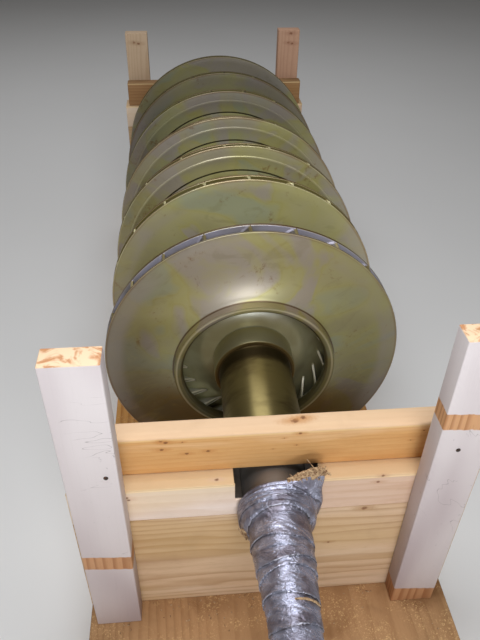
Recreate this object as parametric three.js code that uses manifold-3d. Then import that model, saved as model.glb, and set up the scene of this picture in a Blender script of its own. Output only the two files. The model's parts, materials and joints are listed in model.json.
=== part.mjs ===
// A seven-stage centrifugal compressor rotor lying in its timber cradle. Millimetres, +Z up.
// The shaft runs along Y with the first inlet eye towards -Y. The origin is under the middle of the
// part, on the surface that the skids stand on.
import * as THREE from "three";
import { mergeVertices } from "three/addons/utils/BufferGeometryUtils.js";
import Module from "manifold-3d";

const wasm = await Module();
wasm.setup();

// Fits
const GAP = 0.3; // left between pieces that touch
const BORE_CLEARANCE = 0.6; // radial, so that the flats of a bore clear the corners of the shaft

// Roundness
const WHEEL_SIDES = 36;
const SHAFT_SIDES = 24;

// Shaft, from the middle of the part to either end
const SHAFT_HALF_LENGTH = 1200;
const SHAFT_R = 65; // under the wheels
const SHAFT_SEAT_END = 829;
const JOURNAL_R = 60;
const JOURNAL_END = 931;
const STUB_R = 44;
const STUB_END = 985;
const TAPER_END = 1021;
const END_R = 32;

// Wheels, all of one diameter. Distances along Y are from the front face of a wheel's cover rim.
const WHEEL_R = 310;
const FIRST_WHEEL_Y = -554;
const EYE_R = 149;
const EYE_RING_R = 168;
const EYE_RING_FRONT = -39.5;
const FLARE_END_R = 262; // where the cover's front settles to the plane of its rim
const BLADE_INLET_R = { hub: 143, cover: 166 };
const BLADE_WRAP = THREE.MathUtils.degToRad(41.4); // turned through from the cover's inlet to the rim
const BLADE_LEAN = THREE.MathUtils.degToRad(13.8); // the hub end of the inlet edge leads by this
const BLADE_SLOPE = THREE.MathUtils.degToRad(40); // between a blade and the rim's tangent
const BLADE_STEPS = 2;
const BLADE_TIP_R = WHEEL_R * Math.cos(Math.PI / WHEEL_SIDES) - 1; // inside the flats of the rim
const BLADE_FOOT = 1; // sunk into the disc
const BLADE_CLEARANCE = 0.5; // to the cover that is joined over it
const HUB_R = 84;
const HUB_STEP = 20; // from the hub's front face back to the disc's front face
const HUB_TAIL = 38; // from the disc's back face to the hub's rear end
const HUB_TAIL_R = 96;

// pitch: distance from the wheel before. slot: width of the outlet. cone: how far the cover leans
// forward on the way in to the eye. phase: angle of one blade's outer end, in degrees.
const STAGES = [
  { pitch: 0, slot: 22, cover: 4.5, disc: 7, cone: 2, blades: 22, blade: 5, phase: 42.5 },
  { pitch: 221, slot: 15, cover: 4, disc: 6, cone: 6, blades: 20, blade: 4, phase: 52 },
  { pitch: 182, slot: 9, cover: 4, disc: 5.5, cone: 8, blades: 18, blade: 4, phase: 55.5 },
  { pitch: 186, slot: 4, cover: 4, disc: 5, cone: 8, blades: 18, blade: 4, phase: 48 },
  { pitch: 208, slot: 11, cover: 4, disc: 5, cone: 8, blades: 20, blade: 4, phase: 61.6 },
  { pitch: 170, slot: 10, cover: 4, disc: 5, cone: 8, blades: 20, blade: 4, phase: 70.5 },
  { pitch: 174, slot: 9, cover: 4, disc: 5, cone: 8, blades: 20, blade: 4, phase: 64 },
];

// Sleeves, balance drum and locknut
const SLEEVE_R = 74;
const SLEEVE_NOSE_LENGTH = 49;
const DRUM_R = 150;
const DRUM_LENGTH = 120;
const NUT_R = 90;
const NUT_LENGTH = 24;
const NUT_SLOTS = 6;
const NUT_SLOT_WIDTH = 16;
const NUT_SLOT_DEPTH = 12;

// Tape wound over padding on the shaft ends, as distance from the middle and outer radius
const WRAP_START = 933;
const WRAP_END = 1172;
const WRAP_OUTLINE = [
  [WRAP_START, 58],
  [941, 64],
  [959, 66],
  [975, 61],
  [988, 53],
  [1004, 50],
  [1024, 48],
  [1057, 44],
  [1089, 41],
  [1120, 39],
  [WRAP_END - 5, 38],
  [WRAP_END, 36],
];

// Timber cradle, the same at both ends
const CRADLE_HALF_WIDTH = 337;
const CRADLE_HALF_LENGTH = 1055;
const SADDLE_FACE = 926; // outer face of the stacked planks, from the middle
const PLANK_DEPTH = 76;
const PLANK_HEIGHT = 254;
const BLOCK_HEIGHT = 79;
const NOTCH_R = 60.6; // a running gap for the journal
const NOTCH_HALF_WIDTH = 69;
const NOTCH_STEP = 24; // above the axis, where the notch widens
const NOTCH_SIDES = 24; // to the half circle
const BEAM_HEIGHT = 84;
const BEAM_DEPTH = 38;
const BEAM_ABOVE_AXIS = 64;
const BEAM_SETBACK = 31;
const BEAM_HALF_LENGTH = 325;
const POST_WIDTH = 80;
const POST_DEPTH = 38;
const POSTS = {
  front: { left: { inner: -243, top: 365 }, right: { inner: 228, top: 374 } },
  rear: { left: { inner: -243, top: 304 }, right: { inner: 243, top: 312 } },
};
const SOLE_THICKNESS = 73;
const DECK_THICKNESS = 19;
const SKID = 89;

// Heights worked out from the floor up
const DECK_Z = SKID + GAP;
const SOLE_Z = DECK_Z + DECK_THICKNESS + GAP;
const PLANK_Z = SOLE_Z + SOLE_THICKNESS + GAP;
const BLOCK_Z = PLANK_Z + PLANK_HEIGHT + GAP;
const BEAM_Z = BLOCK_Z + BLOCK_HEIGHT + GAP;
const AXIS_Z = BEAM_Z - BEAM_ABOVE_AXIS;

const wheelSteel = new THREE.MeshStandardMaterial({ color: 0x7b7858, roughness: 0.38, metalness: 0.9 });
const shaftSteel = new THREE.MeshStandardMaterial({ color: 0x4a4436, roughness: 0.42, metalness: 0.9 });
const brightSteel = new THREE.MeshStandardMaterial({ color: 0x8d8c86, roughness: 0.32, metalness: 1 });
const silverTape = new THREE.MeshStandardMaterial({ color: 0x8e8c92, roughness: 0.35, metalness: 0.5 });
const pine = new THREE.MeshStandardMaterial({ color: 0xd9a566, roughness: 0.75, metalness: 0 });
const paintedPine = new THREE.MeshStandardMaterial({ color: 0xd6d2d0, roughness: 0.7, metalness: 0 });
const plywood = new THREE.MeshStandardMaterial({ color: 0xb98a4e, roughness: 0.8, metalness: 0 });

function namedMesh(name, geometry, material) {
  const mesh = new THREE.Mesh(geometry, material);
  mesh.name = name;
  return mesh;
}

// Turns a closed outline of [radius, y] points about the Y axis, whichever way round it is given.
function revolve(outline, sides) {
  const points = outline.map(([radius, y]) => new THREE.Vector2(radius, y));
  if (THREE.ShapeUtils.area(points) < 0) {
    points.reverse();
  }
  return new THREE.LatheGeometry([...points, points[0].clone()], sides);
}

function ringGeometry(innerR, outerR, start, end, sides) {
  return revolve([[innerR, start], [outerR, start], [outerR, end], [innerR, end]], sides);
}

function solidOf(geometry) {
  geometry.deleteAttribute("normal");
  geometry.deleteAttribute("uv");
  const merged = mergeVertices(geometry, 1e-3);
  return new wasm.Manifold(
    new wasm.Mesh({
      numProp: 3,
      vertProperties: merged.attributes.position.array,
      triVerts: new Uint32Array(merged.index.array),
    }),
  );
}

function geometryOf(solid) {
  const mesh = solid.getMesh();
  const geometry = new THREE.BufferGeometry();
  geometry.setAttribute("position", new THREE.BufferAttribute(mesh.vertProperties, mesh.numProp));
  geometry.setIndex(new THREE.BufferAttribute(mesh.triVerts, 1));
  geometry.computeVertexNormals();
  return geometry;
}

const discFront = (stage) => stage.cover + stage.slot;
const discBack = (stage) => discFront(stage) + stage.disc;
const hubFront = (stage) => discFront(stage) - HUB_STEP;
const hubRear = (stage) => discBack(stage) + HUB_TAIL;

// The plane that the blades' front edges follow, a clearance behind the cover's inner face.
function bladeFront(stage, radius) {
  const lean = (stage.cone * (WHEEL_R - radius)) / (WHEEL_R - EYE_RING_R);
  return stage.cover - lean + BLADE_CLEARANCE;
}

// One blade: a block bent along a spiral from the eye to the rim, its foot in the disc.
function bladeGeometry(stage, rimAngle) {
  const geometry = new THREE.BoxGeometry(1, 1, 1, BLADE_STEPS, 1, 1);
  const corner = geometry.attributes.position;
  const foot = discFront(stage) + BLADE_FOOT;
  const spread = stage.blade / Math.sin(BLADE_SLOPE);
  for (let i = 0; i < corner.count; i++) {
    const along = corner.getX(i) + 0.5;
    const depth = corner.getY(i) + 0.5;
    const inletR = THREE.MathUtils.lerp(BLADE_INLET_R.cover, BLADE_INLET_R.hub, depth);
    const wrap = BLADE_WRAP + BLADE_LEAN * depth;
    const radius = inletR * (BLADE_TIP_R / inletR) ** along;
    const angle = rimAngle + wrap * (1 - along) + (corner.getZ(i) * spread) / radius;
    const y = THREE.MathUtils.lerp(bladeFront(stage, radius), foot, depth);
    corner.setXYZ(i, radius * Math.cos(angle), y, radius * Math.sin(angle));
  }
  return geometry;
}

function discOutline(stage) {
  const bore = SHAFT_R + BORE_CLEARANCE;
  const front = discFront(stage);
  const back = discBack(stage);
  return [
    [bore, hubFront(stage)],
    [HUB_R, hubFront(stage)],
    [HUB_R + 15, front - 8],
    [BLADE_INLET_R.hub - 4, front],
    [WHEEL_R, front],
    [WHEEL_R, back],
    [170, back + 5],
    [HUB_TAIL_R + 5, back + 18],
    [HUB_TAIL_R, hubRear(stage)],
    [bore, hubRear(stage)],
  ];
}

function bladedDisc(name, stage) {
  let solid = solidOf(revolve(discOutline(stage), WHEEL_SIDES));
  for (let i = 0; i < stage.blades; i++) {
    const rimAngle = THREE.MathUtils.degToRad(stage.phase) + (2 * Math.PI * i) / stage.blades;
    solid = solid.add(solidOf(bladeGeometry(stage, rimAngle)));
  }
  return namedMesh(name, geometryOf(solid), wheelSteel);
}

// The cover: a thin rim, a hollow flare towards the eye, and the ring with its rounded lip.
function cover(name, stage) {
  const lean = stage.cone;
  const outline = [
    [EYE_R, EYE_RING_FRONT + 13],
    [EYE_R + 7, EYE_RING_FRONT + 2],
    [EYE_RING_R - 3, EYE_RING_FRONT],
    [EYE_RING_R, -22 - lean / 2],
    [200, -10 - lean / 2],
    [FLARE_END_R, -2 - lean / 8],
    [WHEEL_R, 0],
    [WHEEL_R, stage.cover],
    [EYE_RING_R + 8, stage.cover - lean],
    [EYE_R, stage.cover - lean - 18],
  ];
  return namedMesh(name, revolve(outline, WHEEL_SIDES), wheelSteel);
}

// A sleeve from one hub to the next, thicker where it meets the wheel behind it.
function sleeve(name, start, end) {
  const bore = SHAFT_R + BORE_CLEARANCE;
  const shoulder = end - SLEEVE_NOSE_LENGTH;
  const outline = [
    [bore, start],
    [SLEEVE_R, start],
    [SLEEVE_R, shoulder],
    [HUB_R, shoulder],
    [HUB_R, end],
    [bore, end],
  ];
  return namedMesh(name, revolve(outline, SHAFT_SIDES), shaftSteel);
}

function shaft() {
  const half = [
    [END_R, TAPER_END],
    [STUB_R, STUB_END],
    [STUB_R, JOURNAL_END],
    [JOURNAL_R, JOURNAL_END],
    [JOURNAL_R, SHAFT_SEAT_END],
    [SHAFT_R, SHAFT_SEAT_END],
  ];
  const front = half.map(([radius, y]) => new THREE.Vector2(radius, -y));
  const rear = half.map(([radius, y]) => new THREE.Vector2(radius, y)).reverse();
  const outline = [
    new THREE.Vector2(0, -SHAFT_HALF_LENGTH),
    new THREE.Vector2(END_R, -SHAFT_HALF_LENGTH),
    ...front,
    ...rear,
    new THREE.Vector2(END_R, SHAFT_HALF_LENGTH),
    new THREE.Vector2(0, SHAFT_HALF_LENGTH),
  ];
  return namedMesh("shaft", new THREE.LatheGeometry(outline, SHAFT_SIDES), shaftSteel);
}

function locknut(start) {
  const end = start + NUT_LENGTH;
  let solid = solidOf(ringGeometry(SHAFT_R + BORE_CLEARANCE, NUT_R, start, end, SHAFT_SIDES));
  for (let i = 0; i < NUT_SLOTS; i++) {
    const slot = new THREE.BoxGeometry(NUT_SLOT_WIDTH, NUT_LENGTH + 2, 2 * NUT_SLOT_DEPTH);
    slot.translate(0, (start + end) / 2, NUT_R);
    slot.rotateY((2 * Math.PI * i) / NUT_SLOTS);
    solid = solid.subtract(solidOf(slot));
  }
  return namedMesh("locknut", geometryOf(solid), brightSteel);
}

function tapeWrap(name, side) {
  const outside = WRAP_OUTLINE.map(([y, radius]) => [radius, side * y]);
  const inside = [
    [END_R + BORE_CLEARANCE, side * WRAP_END],
    [END_R + BORE_CLEARANCE, side * (TAPER_END + 1)],
    [STUB_R + BORE_CLEARANCE, side * (STUB_END + 1)],
    [STUB_R + BORE_CLEARANCE, side * WRAP_START],
  ];
  return namedMesh(name, revolve([...outside, ...inside], SHAFT_SIDES), silverTape);
}

function rotor() {
  const group = new THREE.Group();
  group.add(shaft());
  let wheelY = FIRST_WHEEL_Y;
  let sleeveStart = -SHAFT_SEAT_END;
  STAGES.forEach((stage, i) => {
    wheelY += stage.pitch;
    const number = i + 1;
    const sleeveName = i === 0 ? "front_sleeve" : `spacer_sleeve_${i}`;
    group.add(sleeve(sleeveName, sleeveStart, wheelY + hubFront(stage) - GAP));
    const disc = bladedDisc(`wheel_${number}_bladed_disc`, stage);
    const front = cover(`wheel_${number}_cover`, stage);
    disc.position.y = wheelY;
    front.position.y = wheelY;
    group.add(disc, front);
    sleeveStart = wheelY + hubRear(stage) + GAP;
  });
  const drumEnd = sleeveStart + DRUM_LENGTH;
  const drum = ringGeometry(SHAFT_R + BORE_CLEARANCE, DRUM_R, sleeveStart, drumEnd, WHEEL_SIDES);
  group.add(namedMesh("balance_drum", drum, brightSteel));
  group.add(locknut(drumEnd + GAP));
  group.add(tapeWrap("front_tape_wrap", -1));
  group.add(tapeWrap("rear_tape_wrap", 1));
  group.position.z = AXIS_Z;
  return group;
}

function board(name, [x0, x1], [y0, y1], [z0, z1], material) {
  const geometry = new THREE.BoxGeometry(x1 - x0, y1 - y0, z1 - z0);
  const mesh = namedMesh(name, geometry, material);
  mesh.position.set((x0 + x1) / 2, (y0 + y1) / 2, (z0 + z1) / 2);
  return mesh;
}

// A timber cut across its length: the shape lies in X and Z, and its depth runs along Y.
function cutTimber(name, shape, depth) {
  const geometry = new THREE.ExtrudeGeometry(shape, {
    depth,
    bevelEnabled: false,
    curveSegments: NOTCH_SIDES,
  });
  geometry.rotateX(Math.PI / 2);
  geometry.translate(0, depth / 2, 0);
  return namedMesh(name, geometry, pine);
}

// Heights in the two shapes below are above the rotor's axis.
function blockShape(outward) {
  const bottom = BLOCK_Z - AXIS_Z;
  const top = bottom + BLOCK_HEIGHT;
  const low = Math.asin(bottom / NOTCH_R);
  const high = Math.asin(NOTCH_STEP / NOTCH_R);
  const shape = new THREE.Shape();
  shape.moveTo(outward * CRADLE_HALF_WIDTH, bottom);
  for (let i = 0; i <= NOTCH_SIDES / 2; i++) {
    const angle = THREE.MathUtils.lerp(low, high, (2 * i) / NOTCH_SIDES);
    shape.lineTo(outward * NOTCH_R * Math.cos(angle), NOTCH_R * Math.sin(angle));
  }
  shape.lineTo(outward * NOTCH_HALF_WIDTH, NOTCH_STEP);
  shape.lineTo(outward * NOTCH_HALF_WIDTH, top);
  shape.lineTo(outward * CRADLE_HALF_WIDTH, top);
  return shape;
}

function notchedPlankShape() {
  const bottom = PLANK_Z - AXIS_Z;
  const top = bottom + PLANK_HEIGHT;
  const start = Math.asin(top / NOTCH_R);
  const shape = new THREE.Shape();
  shape.moveTo(-CRADLE_HALF_WIDTH, bottom);
  shape.lineTo(CRADLE_HALF_WIDTH, bottom);
  shape.lineTo(CRADLE_HALF_WIDTH, top);
  shape.absarc(0, 0, NOTCH_R, start, -Math.PI - start, true);
  shape.lineTo(-CRADLE_HALF_WIDTH, top);
  return shape;
}

// side is -1 at the front end and 1 at the rear end.
function saddle(end, side) {
  const group = new THREE.Group();
  const across = [-CRADLE_HALF_WIDTH, CRADLE_HALF_WIDTH];
  const along = (near, far) => [side * near, side * far].sort((a, b) => a - b);
  const planks = along(SADDLE_FACE - PLANK_DEPTH, SADDLE_FACE);
  for (const [hand, outward] of [["left", -1], ["right", 1]]) {
    const block = cutTimber(`${end}_saddle_block_${hand}`, blockShape(outward), PLANK_DEPTH);
    block.position.set(0, (planks[0] + planks[1]) / 2, AXIS_Z);
    group.add(block);
  }
  const notched = cutTimber(`${end}_notched_plank`, notchedPlankShape(), PLANK_DEPTH);
  notched.position.set(0, (planks[0] + planks[1]) / 2, AXIS_Z);
  group.add(notched);
  const sole = along(SADDLE_FACE - PLANK_DEPTH, CRADLE_HALF_LENGTH);
  group.add(board(`${end}_sole_timber`, across, sole, [SOLE_Z, SOLE_Z + SOLE_THICKNESS], pine));
  const beamFace = SADDLE_FACE - BEAM_SETBACK;
  const beam = along(beamFace - BEAM_DEPTH, beamFace);
  const beamAcross = [-BEAM_HALF_LENGTH, BEAM_HALF_LENGTH];
  group.add(board(`${end}_clamp_beam`, beamAcross, beam, [BEAM_Z, BEAM_Z + BEAM_HEIGHT], pine));
  const posts = along(SADDLE_FACE + GAP, SADDLE_FACE + GAP + POST_DEPTH);
  for (const [hand, post] of Object.entries(POSTS[end])) {
    const outer = post.inner + Math.sign(post.inner) * POST_WIDTH;
    const width = [post.inner, outer].sort((a, b) => a - b);
    const height = [SOLE_Z + SOLE_THICKNESS + GAP, AXIS_Z + post.top];
    group.add(board(`${end}_post_${hand}`, width, posts, height, paintedPine));
  }
  return group;
}

function base() {
  const group = new THREE.Group();
  const across = [-CRADLE_HALF_WIDTH, CRADLE_HALF_WIDTH];
  const along = [-CRADLE_HALF_LENGTH, CRADLE_HALF_LENGTH];
  group.add(board("deck", across, along, [DECK_Z, DECK_Z + DECK_THICKNESS], plywood));
  const reach = CRADLE_HALF_WIDTH - SKID / 2;
  for (const [hand, x] of [["left", -reach], ["middle", 0], ["right", reach]]) {
    group.add(board(`skid_${hand}`, [x - SKID / 2, x + SKID / 2], along, [0, SKID], pine));
  }
  return group;
}

const compressorRotor = new THREE.Group();
compressorRotor.name = "compressor_rotor_on_cradle";
compressorRotor.add(rotor(), saddle("front", -1), saddle("rear", 1), base());

export default compressorRotor;
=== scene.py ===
"""A seven-stage centrifugal compressor rotor lying in its timber cradle, in metres with +Z up.

The shaft runs along Y, with the first wheel's eye towards -Y. Each class builds one sub-assembly of
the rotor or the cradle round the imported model, and each finish dresses a piece in one material.
"""

import json
import logging
import math
import random
from contextlib import contextmanager
from dataclasses import dataclass, field, replace
from enum import Enum
from typing import Iterator, Optional, Sequence, Union

import bpy  # noqa: E402
from mathutils import Matrix, Vector, noise  # noqa: E402

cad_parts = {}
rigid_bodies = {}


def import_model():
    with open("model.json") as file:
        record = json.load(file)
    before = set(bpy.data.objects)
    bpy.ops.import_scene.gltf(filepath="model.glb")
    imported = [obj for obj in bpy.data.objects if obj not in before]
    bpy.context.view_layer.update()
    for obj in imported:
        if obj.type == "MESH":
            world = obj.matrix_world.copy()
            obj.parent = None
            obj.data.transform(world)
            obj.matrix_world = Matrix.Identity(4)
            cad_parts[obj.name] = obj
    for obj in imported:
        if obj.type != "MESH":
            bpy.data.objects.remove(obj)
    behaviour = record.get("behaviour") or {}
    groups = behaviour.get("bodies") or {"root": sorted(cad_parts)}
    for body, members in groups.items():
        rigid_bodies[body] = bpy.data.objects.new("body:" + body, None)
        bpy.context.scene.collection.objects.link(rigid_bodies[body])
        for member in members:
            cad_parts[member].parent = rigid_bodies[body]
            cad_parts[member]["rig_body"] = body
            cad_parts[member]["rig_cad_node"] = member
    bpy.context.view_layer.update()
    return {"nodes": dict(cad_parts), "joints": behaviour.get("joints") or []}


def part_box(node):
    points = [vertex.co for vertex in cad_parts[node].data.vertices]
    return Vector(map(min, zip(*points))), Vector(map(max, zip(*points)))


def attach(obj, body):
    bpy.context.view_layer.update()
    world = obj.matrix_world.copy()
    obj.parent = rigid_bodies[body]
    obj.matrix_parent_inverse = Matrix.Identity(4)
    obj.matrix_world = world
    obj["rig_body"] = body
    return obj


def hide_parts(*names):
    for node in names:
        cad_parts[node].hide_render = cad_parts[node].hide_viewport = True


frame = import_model()

LOG = logging.getLogger("compressor_rotor")
ROTOR = "rotor"
CRADLE = "cradle"
AXIS_Z = frame["joints"][0]["pos_m"][2]
AXIS = Vector((0.0, 0.0, AXIS_Z))
TURN = 2.0 * math.pi

Outline = list[tuple[float, float]]
Colour = tuple[float, float, float]
Triple = tuple[float, float, float]
Piece = bpy.types.Object
Material = bpy.types.Material
Socket = bpy.types.NodeSocket
Input = Union[Socket, float]


def mm(*points: tuple[float, ...]) -> list[tuple[float, ...]]:
    """Points given in millimetres, as metres."""
    return [tuple(value / 1000.0 for value in point) for point in points]


def srgb(red: int, green: int, blue: int) -> Colour:
    """A colour given as it looks on a screen, 0 to 255, as linear light."""

    def linear(level: int) -> float:
        """One channel's light."""
        share = level / 255.0
        return share / 12.92 if share <= 0.04045 else ((share + 0.055) / 1.055) ** 2.4

    return (linear(red), linear(green), linear(blue))


def dim(colour: Colour, share: float) -> Colour:
    """A colour with only a share of its light."""
    return tuple(share * level for level in colour)


# ---- Shaping, by the operators of edit mode


def deselect() -> None:
    """Leaves edit mode and deselects every object."""
    if bpy.context.object and bpy.context.object.mode != "OBJECT":
        bpy.ops.object.mode_set(mode="OBJECT")
    bpy.ops.object.select_all(action="DESELECT")


def select_mesh() -> None:
    """Selects all of the mesh being edited."""
    bpy.ops.mesh.select_all(action="SELECT")


def focus(*pieces: Piece) -> None:
    """Selects these pieces alone, the first of them active."""
    deselect()
    for piece in pieces:
        piece.select_set(True)
    bpy.context.view_layer.objects.active = pieces[0]


@contextmanager
def editing(piece: Piece) -> Iterator[bpy.types.Mesh]:
    """Opens a piece's mesh in edit mode, with nothing selected in it."""
    focus(piece)
    bpy.ops.object.mode_set(mode="EDIT")
    bpy.ops.mesh.select_all(action="DESELECT")
    try:
        yield piece.data
    finally:
        bpy.ops.object.mode_set(mode="OBJECT")


def new_piece(name: str) -> Piece:
    """An empty mesh piece at the origin."""
    deselect()
    bpy.ops.mesh.primitive_plane_add(size=0.001, location=(0.0, 0.0, 0.0))
    piece = bpy.context.object
    piece.name = piece.data.name = name
    with editing(piece):
        select_mesh()
        bpy.ops.mesh.delete(type="VERT")
    return piece


def draw_chain(points: Sequence[Sequence[float]]) -> None:
    """Draws a chain of edges from point to point in the mesh being edited, and leaves it selected.

    Args:
        points: The chain's corners. A closed outline repeats its first corner at the end.
    """
    here = Vector(points[0])
    bpy.ops.mesh.select_all(action="DESELECT")
    bpy.ops.mesh.primitive_plane_add(size=0.0001, location=here)
    bpy.ops.mesh.merge(type="CENTER")
    for point in points[1:]:
        step = Vector(point) - here
        bpy.ops.mesh.extrude_region_move(TRANSFORM_OT_translate={"value": step})
        here = Vector(point)
    bpy.ops.mesh.select_linked()


def tidy_shell(distance: float = 1e-5) -> None:
    """Merges doubles of the mesh being edited and turns its faces outwards."""
    select_mesh()
    bpy.ops.mesh.remove_doubles(threshold=distance)
    bpy.ops.mesh.normals_make_consistent(inside=False)


def smooth(piece: Piece, angle: float = 32.0) -> None:
    """Shades a piece smooth, apart from corners sharper than the angle in degrees."""
    focus(piece)
    bpy.ops.object.shade_smooth_by_angle(angle=math.radians(angle))


def turned(name: str, outline: Outline, start: float = 0.0, steps: int = 192) -> Piece:
    """Turns an outline about the shaft's axis, as on a lathe.

    Args:
        name: The piece's name.
        outline: Corners in millimetres, as (radius, distance along Y from start). It closes on
            itself, or begins and ends on the axis.
        start: Where the outline's zero lies along Y, in metres.
        steps: Facets to the full turn.

    Returns:
        The turned piece.
    """
    piece = new_piece(name)
    chain = [(radius, start + along, AXIS_Z) for radius, along in mm(*outline)]
    if outline[0][0] > 0.0:
        chain.append(chain[0])
    with editing(piece):
        draw_chain(chain)
        select_mesh()
        bpy.ops.mesh.spin(steps=steps, angle=TURN, center=AXIS, axis=(0.0, 1.0, 0.0), use_auto_merge=True)
        tidy_shell()
    smooth(piece)
    return piece


def apply_modifier(piece: Piece, kind: str, **settings: object) -> None:
    """Adds a modifier with these settings and applies it."""
    focus(piece)
    modifier = piece.modifiers.new(kind.title(), kind)
    for setting, value in settings.items():
        setattr(modifier, setting, value)
    bpy.ops.object.modifier_apply(modifier=modifier.name)


def ease_edges(piece: Piece, width: float, segments: int = 2, angle: float = 40.0) -> None:
    """Rounds the corners of a piece that are sharper than the angle in degrees."""
    sharp = math.radians(angle)
    apply_modifier(piece, "BEVEL", width=width, segments=segments, limit_method="ANGLE", angle_limit=sharp)


def cut_away(piece: Piece, cutter: Piece) -> None:
    """Takes a cutter's shape out of a piece, and removes the cutter."""
    apply_modifier(piece, "BOOLEAN", object=cutter, operation="DIFFERENCE", solver="EXACT")
    bpy.data.objects.remove(cutter)


def join(pieces: Sequence[Piece], name: str) -> Piece:
    """Joins pieces into the first of them, under a name of its own."""
    focus(*pieces)
    bpy.ops.object.join()
    piece = bpy.context.object
    piece.name = piece.data.name = name
    return piece


def placed_copy(model: Piece, place: Matrix) -> Piece:
    """A copy of a piece with a mesh of its own, put in its place through that mesh."""
    copy = model.copy()
    copy.data = model.data.copy()
    copy.data.transform(place)
    bpy.context.scene.collection.objects.link(copy)
    return copy


def sawn_timber(node: str, edge: float, name: str = "") -> Piece:
    """A straight timber the size of its solid, with worn edges.

    Args:
        node: The solid that it stands for.
        edge: How far its edges are rounded.
        name: The piece's name, or else that of its solid with "sawn" after it.

    Returns:
        The timber.
    """
    low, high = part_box(node)
    deselect()
    bpy.ops.mesh.primitive_cube_add(size=1.0, location=(0.0, 0.0, 0.0))
    piece = bpy.context.object
    piece.name = piece.data.name = name or f"{node}_sawn"
    with editing(piece):
        select_mesh()
        bpy.ops.transform.resize(value=high - low)
        bpy.ops.transform.translate(value=(low + high) / 2.0)
    ease_edges(piece, edge, segments=3)
    smooth(piece)
    return piece


def splinter(chance: random.Random, length: float) -> Piece:
    """A flat, tapering splinter along X, at the origin.

    Args:
        chance: Gives its width and thickness.
        length: Its length in millimetres.

    Returns:
        The splinter.
    """
    deselect()
    bpy.ops.mesh.primitive_cube_add(size=0.001, location=(0.0, 0.0, 0.0))
    piece = bpy.context.object
    width = chance.uniform(1.0, 2.6)
    with editing(piece):
        select_mesh()
        bpy.ops.transform.resize(value=(length, width, chance.uniform(0.4, 1.1)))
        bpy.ops.mesh.subdivide(number_cuts=2)
    for vertex in piece.data.vertices:
        share = vertex.co.x / (length / 1000.0)
        vertex.co.y *= 1.0 - 0.8 * max(0.0, share + 0.1)
        vertex.co.z += 0.0012 * share * share + 0.0003 * noise.noise(vertex.co * 900.0)
    return piece


def strewn_splinter(chance: random.Random, length: float, root: Vector) -> Piece:
    """A splinter that lies any way round, nearly flat, at a place."""
    piece = splinter(chance, length)
    turn = Matrix.Rotation(chance.uniform(0.0, TURN), 4, "Z")
    for axis, reach in (("X", 0.7), ("Y", 0.6)):
        turn = turn @ Matrix.Rotation(chance.uniform(-reach, reach), 4, axis)
    piece.data.transform(Matrix.Translation(root) @ turn)
    return piece


def settle(piece: Piece, body: str, slot: str, material: Material, *nodes: str) -> Piece:
    """Dresses a finished piece, attaches it to its body and hides the solids that it stands for."""
    piece.data.materials.clear()
    piece.data.materials.append(material)
    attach(piece, body)
    if nodes:
        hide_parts(*nodes)
    LOG.info("%s: %d faces on %s", piece.name, len(piece.data.polygons), body)
    return piece


# ---- Finishes


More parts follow.
